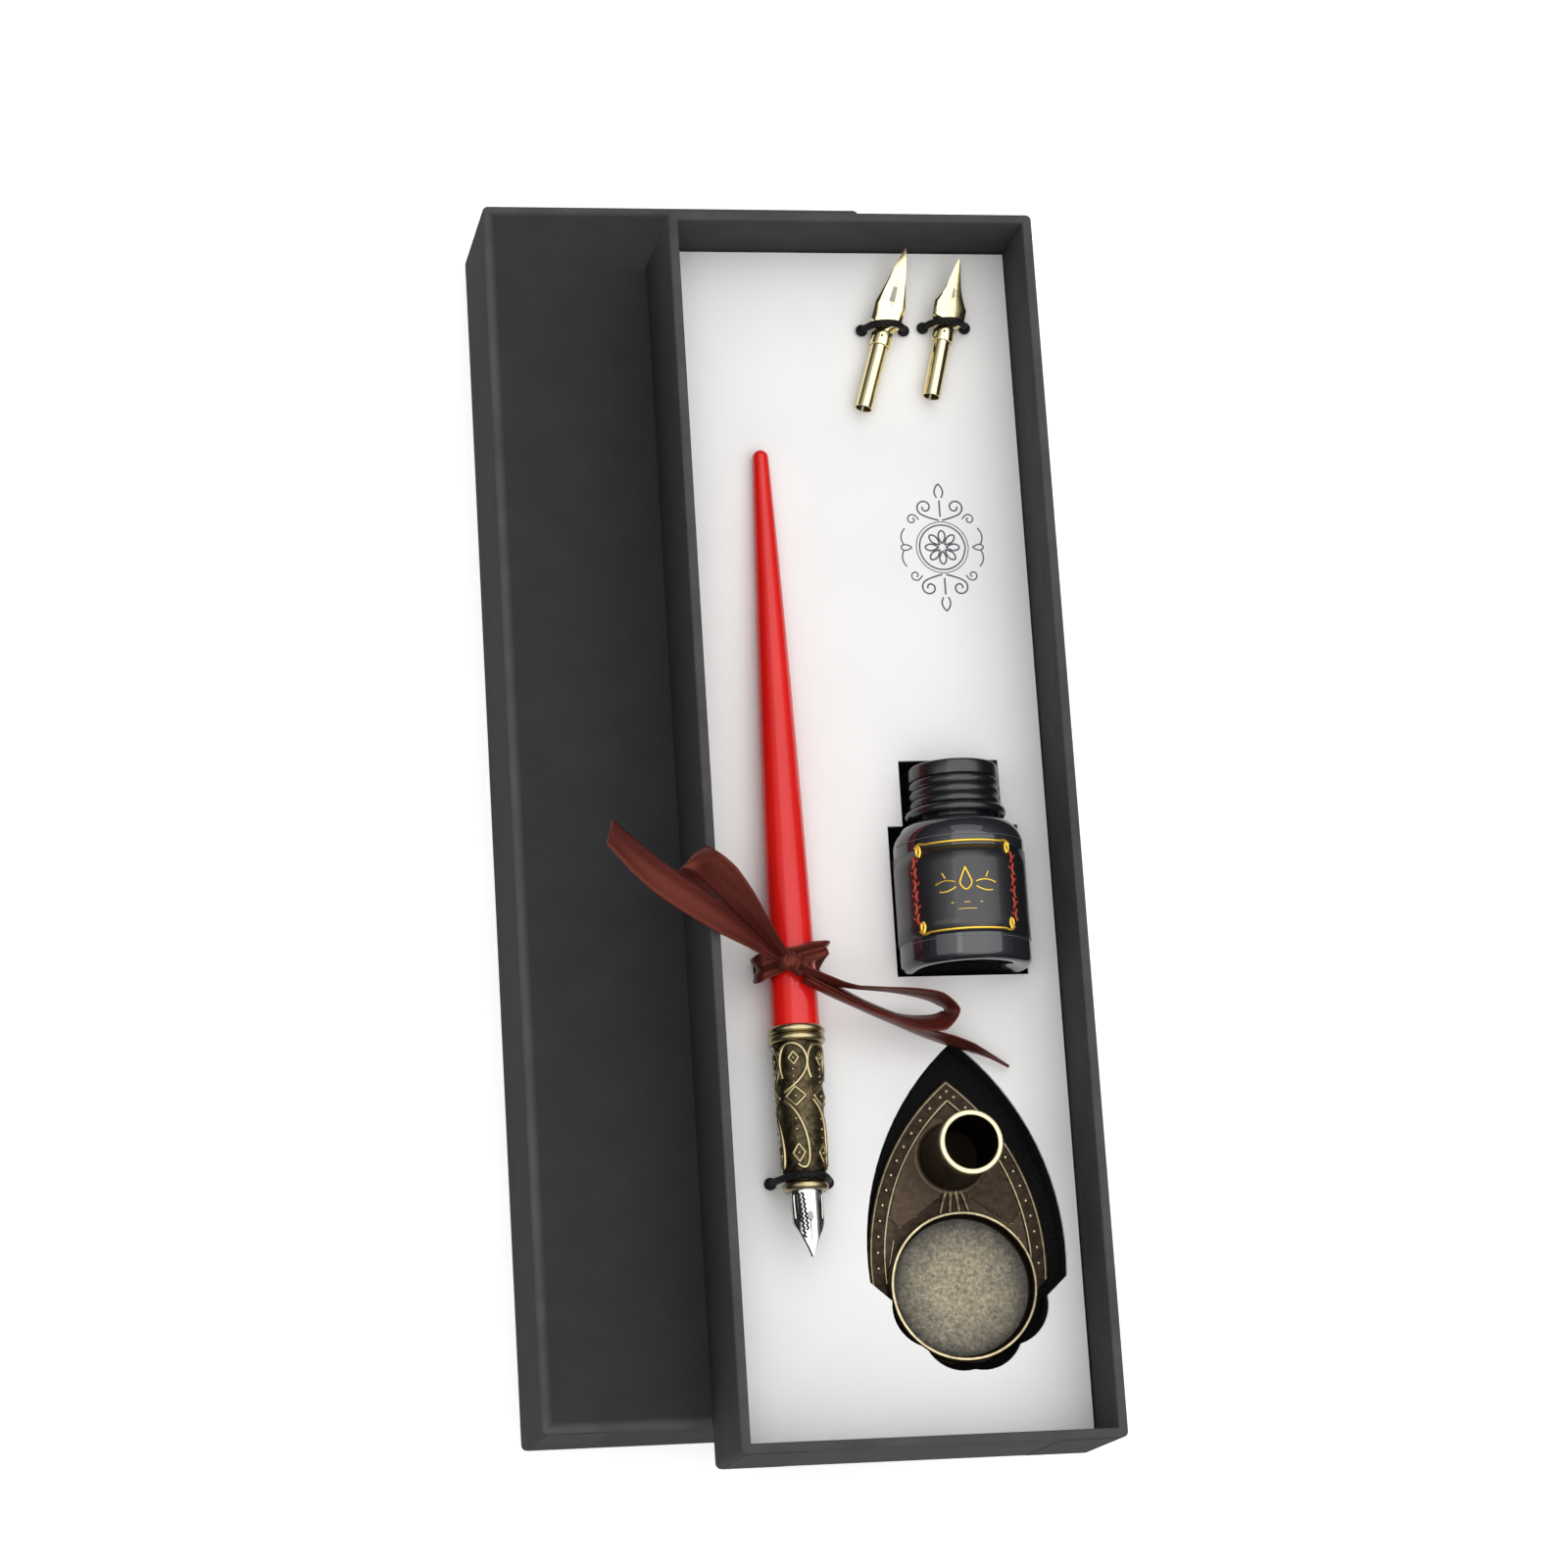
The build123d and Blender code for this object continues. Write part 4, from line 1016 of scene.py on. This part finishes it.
def bottle():
    """The glass: a hollowed foot, straight side, round shoulder and neck."""
    neck_top, side_end = 43.0, 26.5
    outline = [(1.3, 0.0), (1.1, 6.0), (0.5, 10.0), (0.0, 11.6), (0.0, 12.4)]
    outline += arc((0.0, 12.4), (0.5, 13.6), (1.7, bottle_radius), 8)
    outline += [(14.0, bottle_radius), (side_end, bottle_radius)]
    outline += arc((side_end, bottle_radius), (30.74, 12.34), (neck_foot, 8.1), 14)
    outline += [(neck_foot + 0.1, neck_outside), (neck_top, neck_outside)]
    outline += [(neck_top, neck_inside), (neck_foot, neck_inside)]
    outline += arc((31.0, 8.1), (29.7, 11.3), (side_end, glass_inside), 10)
    outline += [(2.5, glass_inside), (2.5, 0.0)]
    bm = bmesh.new()
    turn(bm, outline, bottle_start, bottle_axis, UP, 128)
    piece("glass_bottle", bm, "bottle", glass, ["bottle_glass"], sharp=45)


bottle()


def cap():
    """The screw cap: a flared skirt bead, three ridges and a plain band under its crown."""
    skirt, groove, inside, ridge_wide = 33.0, 9.25, 8.8, 2.1
    outline = [(skirt, inside), (skirt, 9.7)]
    outline += arc((skirt, 9.7), (34.1, 10.9), (35.2, 9.7), 10)
    outline += [(35.3, groove)]
    for ridge in range(3):
        here = 35.2 + ridge_wide * ridge
        outline += arc((here, groove), (here + ridge_wide / 2, 9.8), (here + ridge_wide, groove), 8)
    outline += [(41.6, 9.6), (42.0, 9.7), (44.0, 9.7)]
    outline += arc((44.0, 9.7), (44.5, 9.5), (44.7, 9.0), 5)
    outline += [(44.62, 8.4), (44.62, 0.0), (43.8, 0.0), (43.8, inside), (skirt, inside)]
    bm = bmesh.new()
    turn(bm, outline, bottle_start, bottle_axis, UP, 128)
    piece("screw_cap", bm, "cap", black_cap, ["bottle_cap"], sharp=45)


cap()

label_turn = -9.0
label_radius = bottle_radius + 0.12


def on_label(angle, along, lift):
    """A place on the label at an angle from its middle and a distance from the bottle's foot."""
    turn_by = math.radians(angle + label_turn)
    out = Vector((math.sin(turn_by), 0, math.cos(turn_by)))
    return bottle_start + (bottle_axis * along + out * (label_radius + lift)) * MM


def label():
    """The label: a coated sleeve that leaves a gap at the back."""
    half_angle, middle, half_height = 165, 15.1, 9.5
    bm = bmesh.new()
    made = bmesh.ops.create_grid(bm, x_segments=90, y_segments=6, size=1)
    for vert in made["verts"]:
        vert.co = on_label(vert.co.x * half_angle, middle + vert.co.y * half_height, -0.02)
    thicken(piece("bottle_wrap_label", bm, "bottle", label_paper, ["bottle_label"]), 0.08)


label()


def spiral(centre, radius, turns, start, sign):
    """Points of a spiral that winds in, in the plane of two coordinates."""
    points, steps = [], 9
    for i in range(steps):
        share = i / (steps - 1)
        angle = start + sign * share * turns * 2 * math.pi
        size = radius * (1 - 0.75 * share)
        points.append((centre[0] + size * math.cos(angle), centre[1] + size * math.sin(angle)))
    return points


def mirror_strokes(strokes, ends=(1,)):
    """The strokes to both sides of the middle line, and to each end."""
    made = []
    for end in ends:
        for sign in (-1, 1):
            made += [([(sign * x, end * y) for x, y in points], width) for points, width in strokes]
    return made


def printed(name, strokes, place, material, body, flat=None):
    """Ink strokes of (points, width) laid on a surface by place."""
    bm = bmesh.new()
    for points, width in strokes:
        made = wire(bm, [place(*p) for p in points], width / 2, 0.0, sides=1, resolution=5)
        if flat is not None:
            for vert in made:
                vert.co.z = flat + (vert.co.z - flat) * 0.08
    piece(name, bm, body, material)


def label_print():
    """A plain ruled frame, leaf sprigs in its corners and a drop between two sprays."""
    per_mm = 180 / (math.pi * label_radius)
    frame_low, frame_high, corner_x, sprig_x = 6.4, 25.4, 10.2, 11.6

    def at(x, y):
        return on_label(x * per_mm, y, -0.03)

    half = []
    for y, toward in ((frame_low, 1), (frame_high, -1)):
        root = (corner_x, y + toward * 0.2)
        half.append(([(8.6, y), (corner_x, y - toward * 0.7), (corner_x + 0.9, y + toward * 0.6)], 0.6))
        half.append(([root, (corner_x - 0.8, y + toward * 1.3), (corner_x, y + toward * 2.4)], 0.7))
        half.append(([root, (corner_x + 1.0, y + toward * 1.2), (corner_x + 0.2, y + toward * 2.3)], 0.7))
    half.append(([(2.2, 16.4), (4.4, 17.4), (6.6, 16.2)], 0.44))
    half.append(([(2.2, 15.4), (4.0, 14.2), (5.8, 14.6)], 0.4))
    half.append(([(4.4, 17.3), (5.0, 18.6)], 0.36))
    half += [([(3.4, 12.0), (0, 12.0)], 0.24), ([(2.0, 10.6), (0, 10.6)], 0.2)]
    drop = [(0, 19.6), (-0.9, 17.6), (-1.5, 16.0), (0, 14.3), (1.5, 16.0), (0.9, 17.6), (0, 19.6)]
    rules = [([(x * 0.86, y) for x in range(-10, 11)], 0.6) for y in (frame_low, frame_high)]
    gold = rules + mirror_strokes(half) + [(drop, 0.5)]
    russet = []
    for x in (-sprig_x, sprig_x):
        for step in range(6):
            y = 9.6 + step * 2.5
            swing = 0.55 if step % 2 else -0.55
            russet.append(([(x - swing, y - 1.2), (x + swing, y), (x - swing, y + 1.2)], 0.7))
            russet.append(([(x + swing, y), (x + 2 * swing, y + 0.5)], 0.5))
    silver = [([(x, y) for x in range(-18, 19)], 0.16) for y in (4.9, 26.9)]
    printed("label_gold_print", gold, at, gold_ink, "bottle")
    printed("label_russet_print", russet, at, red_ink, "bottle")
    printed("label_silver_print", silver, at, silver_ink, "bottle")


label_print()


def card_print():
    """A plain printed rosette on the card: petals in a ring, sprays above and below."""
    middle_x, middle_y = 19.5, 63.2
    strokes = []
    for petal in range(8):
        angle = math.pi / 4 * petal
        c, s = math.cos(angle), math.sin(angle)
        loop = [(0.8, 0), (2.0, 0.8), (3.3, 0.7), (4.0, 0), (3.3, -0.7), (2.0, -0.8), (0.8, 0)]
        strokes.append(([(x * c - y * s, (x * s + y * c)) for x, y in loop], 0.38))
    for radius, parts, width in ((5.2, 8, 0.36), (5.9, 10, 0.22)):
        turns = [math.pi * k / parts for k in range(2 * parts + 1)]
        strokes.append(([(math.cos(t) * radius, math.sin(t) * radius) for t in turns], width))
    quarter = [([(0.4, 6.2)] + spiral((3.4, 9.2), 2.2, 1.3, -math.pi / 2, 1), 0.38)]
    quarter += [(spiral((6.4, 6.4), 1.5, 1.2, math.pi, -1), 0.32)]
    quarter += [([(0.5, 11.4), (1.6, 13.0), (0, 14.6)], 0.36), ([(8.6, 0.6), (9.8, 2.6), (8.2, 4.4)], 0.32)]
    strokes += mirror_strokes(quarter, (-1, 1))
    strokes += [([(0, end * 7.0), (0, end * 10.8)], 0.38) for end in (-1, 1)]
    strokes += mirror_strokes([([(6.8, 0), (8.2, 1.0), (9.6, 0), (8.2, -1.0), (6.8, 0)], 0.32)])

    def at(x, y):
        return tray(middle_x + x, middle_y + y, card_face)

    printed("card_rosette", strokes, at, slate_ink, "insert", flat=tray(0, 0, card_face).z)


card_print()

# Pen and ink stand
stand_x, stand_y, stand_z, plate_top = 12.9, -99.0, 6.2, 8.0
plate_half, plate_apex, plate_tail, shoulder_y = 19.1, 44.6, 15.6, 1.2
plate_notch = (0.79 * plate_half, -0.16 * plate_tail)
dish_radius, tube_at, tube_radius, tube_bore = 15.9, 28.0, 6.85, 5.7


def plate_outline():
    """Half of the stand's pointed and scalloped outline, from apex to tail."""
    half, tail = plate_half, plate_tail
    waist = (0.48 * half, -0.72 * tail)
    points = [(0, plate_apex)]
    points += arc((0, plate_apex), (0.73 * half, 0.62 * plate_apex), (half, shoulder_y), 28)
    points += [plate_notch]
    points += arc(plate_notch, (0.74 * half, -0.48 * tail), waist, 8)
    points += arc(waist, (0.33 * half, -0.93 * tail), (0, -tail), 8)
    return points


def in_from_edge(points, inset):
    """The upper right part of the outline moved in by inset, from the middle line down."""
    side = points[: points.index(plate_notch)]
    moved = []
    for i, (x, y) in enumerate(side):
        before, after = side[max(i - 1, 0)], side[min(i + 1, len(side) - 1)]
        run = Vector((after[0] - before[0], after[1] - before[1])).normalized()
        moved.append((x + run.y * inset, y - run.x * inset))
    right = [spot for spot in moved if spot[0] > 0.01]
    (ax, ay), (bx, by) = right[0], right[1]
    return [(0.0, ay + (ay - by) / (bx - ax) * ax)] + right


def on_plate(x, y, lift=0.0):
    """A place over the stand's plate, from the dish's centre."""
    return tray(stand_x + x, stand_y + y, plate_top + lift)


def slab(bm, ring, low, high, rubbed):
    """Adds a flat slab on an outline, from one height over the plate to another."""
    layer = bright_layer(bm)
    verts = [bm.verts.new(on_plate(x, y, low)) for x, y in ring]
    made = bmesh.ops.extrude_face_region(bm, geom=[bm.faces.new(verts)])
    for vert in made["geom"]:
        if isinstance(vert, bmesh.types.BMVert):
            vert.co.z = on_plate(0, 0, high).z
            vert[layer] = rubbed


def plate_line(bm, side, line, lift, thick, rubbed, **wire_kind):
    """A raised line on the plate, to the right where side is 1 and to the left where it is -1."""
    wire(bm, [on_plate(side * x, y, lift) for x, y in line], thick, rubbed, **wire_kind)


def stand_plate():
    """The cast plate: a raised border with beads between two ridges, and low panels within."""
    outline = plate_outline()
    panel_drop, field_drop, bead_apart = 0.4, 0.12, 3.3
    bm = bmesh.new()
    whole = outline + [(-x, y) for x, y in outline[-2:0:-1]]
    slab(bm, whole, stand_z - plate_top, -panel_drop, 0.2)
    border = in_from_edge(outline, 0.0) + in_from_edge(outline, 3.6)[::-1]
    for side in (1, -1):
        slab(bm, [(side * x, y) for x, y in border], -panel_drop, 0.0, 0.08)
        for inset, thick, rubbed in ((0.4, 0.26, 0.5), (3.35, 0.3, 0.56)):
            plate_line(bm, side, in_from_edge(outline, inset), 0.02, thick, rubbed)
        beads = in_from_edge(outline, 1.85)
        gone = bead_apart
        for here, there in zip(beads, beads[1:]):
            gone += math.dist(here, there)
            if gone >= bead_apart:
                gone = 0.0
                dot(bm, on_plate(side * here[0], here[1], 0.1), 0.4, 1.2)
    field = [(3.4, 19.6), (8.6, 15.6), (12.2, 13.4), (14.2, 15.6), (12.8, 21.0), (10.2, 27.0)]
    field += [(6.8, 32.6), (3.0, 36.6), (1.2, 36.2), (1.0, 22.0)]
    # Painted shade: the right panel (side 1) gets less rubbed brightness than the left, so it renders darker,
    # as if in shadow.
    for side, wear_and_shade in ((1, 0.12), (-1, 0.24)):
        slab(bm, [(side * x, y) for x, y in field], -panel_drop, -field_drop, wear_and_shade)
        for edge in zip(field[:8], field[1:8]):
            plate_line(bm, side, edge, -field_drop, 0.13, 0.56, sides=1, resolution=1)
        plate_line(bm, side, [(13.6, 10.6), (14.6, 6.4), (15.4, 2.0)], -panel_drop, 0.3, 0.5)
    for x in (-2.4, -0.8, 0.8, 2.4):
        plate_line(bm, 1, [(x * 0.55, 21.4), (x, 19.0), (x * 1.3, 16.0)], -0.25, 0.5, 0.4)
    piece("cast_stand_plate", bm, "stand", stand_brass, ["stand_plate"], sharp=50)


stand_plate()


def stand_tube():
    """The pen tube: cast dark, with its mouth rubbed bright."""
    bore_floor, tube_height = 0.4, 20.0
    outline = [(0.0, tube_radius, 0.0), (0.6, tube_radius, 0.15), (16.0, tube_radius - 0.1, 0.12)]
    outline += [(19.2, tube_radius - 0.05, 0.5), (19.7, tube_radius, 0.9)]
    outline += [(tube_height, tube_radius - 0.3, 1.2), (tube_height, tube_bore + 0.25, 1.2)]
    outline += [(19.8, tube_bore, 0.6), (19.4, tube_bore, -0.2)]
    outline += [(bore_floor, tube_bore, -0.3), (bore_floor, 0.0, -0.3)]
    bm = bmesh.new()
    origin = on_plate(0, tube_at)
    turn(bm, outline, origin, UP, RIGHT, 96)
    foot = [(0.0, 7.9)] + arc((0.0, 7.9), (0.35, 7.2), (1.1, tube_radius), 5)
    turn(bm, [(along, radius, 0.3) for along, radius in foot], origin, UP, RIGHT, 96)
    piece("cast_pen_tube", bm, "stand", stand_brass, ["stand_tube"], sharp=50)


stand_tube()


def stand_dish():
    """The dish: a thin bright rim and a wall, with a separate floor finish."""
    inner = dish_radius - 0.7
    outline = [(0.0, dish_radius - 0.4, 0.0), (0.5, dish_radius, 0.1), (3.7, dish_radius, 0.5)]
    outline += [(4.2, dish_radius - 0.05, 0.4), (4.4, dish_radius - 0.3, 0.75), (4.35, inner, 0.4)]
    outline += [(3.9, inner - 0.05, 0.2), (1.6, inner - 0.1, -0.2), (1.05, inner - 0.7, -0.1)]
    # The floor's last values paint shade: low near the dish's wall, rising to 1 in the middle.
    outline += [(1.04, 13.0, 0.15), (1.03, 11.0, 0.45), (1.02, 8.0, 0.75), (1.01, 4.0, 1.0), (1.0, 0.0, 1.0)]
    bm = bmesh.new()
    origin = on_plate(0, 0)
    turn(bm, outline, origin, UP, RIGHT, 128)
    mesh = piece("cast_dish", bm, "stand", stand_brass, ["stand_dish"], sharp=50).data
    mesh.materials.append(grey_metal)
    for face in mesh.polygons:
        spots = [mesh.vertices[i].co - origin for i in face.vertices]
        if abs(face.normal.z) > 0.9 and all(spot.xy.length < (inner - 0.6) * MM for spot in spots):
            face.material_index = 1


stand_dish()

# CAD pieces that stay, each with its own finish
for name, material in {
    "lid_board": grey,
    "tray_board": grey,
    "insert_card": white,
    "insert_foam": foam,
    "nib_sleeve": spring_steel,
    "bottle_ink": ink,
    "cap_liner": pulp,
}.items():
    held = frame["nodes"][name]
    held.data.materials.clear()
    held.data.materials.append(material)


# Studio
def floor():
    """A pale floor that keeps the object's shadow."""
    bm = bmesh.new()
    bmesh.ops.create_grid(bm, x_segments=1, y_segments=1, size=4.0)
    mesh = bpy.data.meshes.new("floor")
    bm.to_mesh(mesh)
    bm.free()
    material, tree, shader = finish_named("pale_floor", "#f4f4f5", 0.5)
    path = node(tree, "ShaderNodeLightPath", {})
    seen = combine(tree, "MAXIMUM", path.outputs["Is Camera Ray"], path.outputs["Is Glossy Ray"])
    lift = combine(tree, "MULTIPLY", seen, 0.5)
    feed(tree, shader, {"Emission Strength": lift, "Emission Color": (1, 1, 1, 1)})
    mesh.materials.append(material)
    shown("floor", mesh)


def lamp(name, place, size, power):
    """A soft lamp that points at the middle of the floor."""
    data = bpy.data.lights.new(name, "AREA")
    data.shape = "RECTANGLE"
    data.size, data.size_y = size
    data.energy = power
    made = shown(name, data)
    made.location = place
    made.rotation_euler = (-Vector(place)).to_track_quat("-Z", "Y").to_euler()


def studio():
    """Floor, soft lamps and a plain world that glossy surfaces see as pale above."""
    floor()
    lamp("key", (0.35, -0.1, 1.6), (2.2, 2.6), 22.5)
    lamp("fill", (-0.95, -0.1, 1.2), (0.8, 1.3), 2.4)
    lamp("front", (0.1, -1.2, 1.1), (1.3, 0.7), 2.2)
    lamp("back", (0.2, 1.1, 1.1), (1.3, 0.7), 2.2)
    world = bpy.data.worlds.new("studio")
    bpy.context.scene.world = world
    world.use_nodes = True
    tree = world.node_tree
    path = node(tree, "ShaderNodeLightPath", {})
    split = node(tree, "ShaderNodeSeparateXYZ", {"Vector": place_on(tree, "Generated")})
    stops = [(0.0, "#3a3b3e"), (0.4, "#6f7073"), (0.72, "#d0d1d3"), (0.9, "#ffffff")]
    sky = blend_colours(tree, split.outputs["Z"], stops)
    soft = mixed(tree, path.outputs["Is Glossy Ray"], linear("#a6a7a9"), sky)
    colour = mixed(tree, path.outputs["Is Camera Ray"], soft, (1, 1, 1, 1))
    feed(tree, tree.nodes["Background"], {"Color": colour, "Strength": 1.0})


studio()


def camera():
    """The photograph's view, found from the corners of the box in a 1600 pixel square."""
    focal_px, frame_px, sensor = 4500, 1600, 36
    forward = Vector((0.19484, 0.24042, -0.95091))
    up = Vector((0.01437, 0.96869, 0.24786))
    right = Vector((0.98073, -0.06196, 0.18529))
    data = bpy.data.cameras.new("camera")
    data.sensor_width = sensor
    data.sensor_fit = "HORIZONTAL"
    data.lens = focal_px * sensor / frame_px
    data.clip_start = 0.05
    made = shown("camera", data)
    turned = Matrix((right, up, -forward)).transposed()
    made.matrix_world = Matrix.Translation(tray(-203.86, -217.61, 914.48)) @ turned.to_4x4()
    bpy.context.scene.camera = made


camera()
bpy.context.scene.view_settings.view_transform = "Standard"
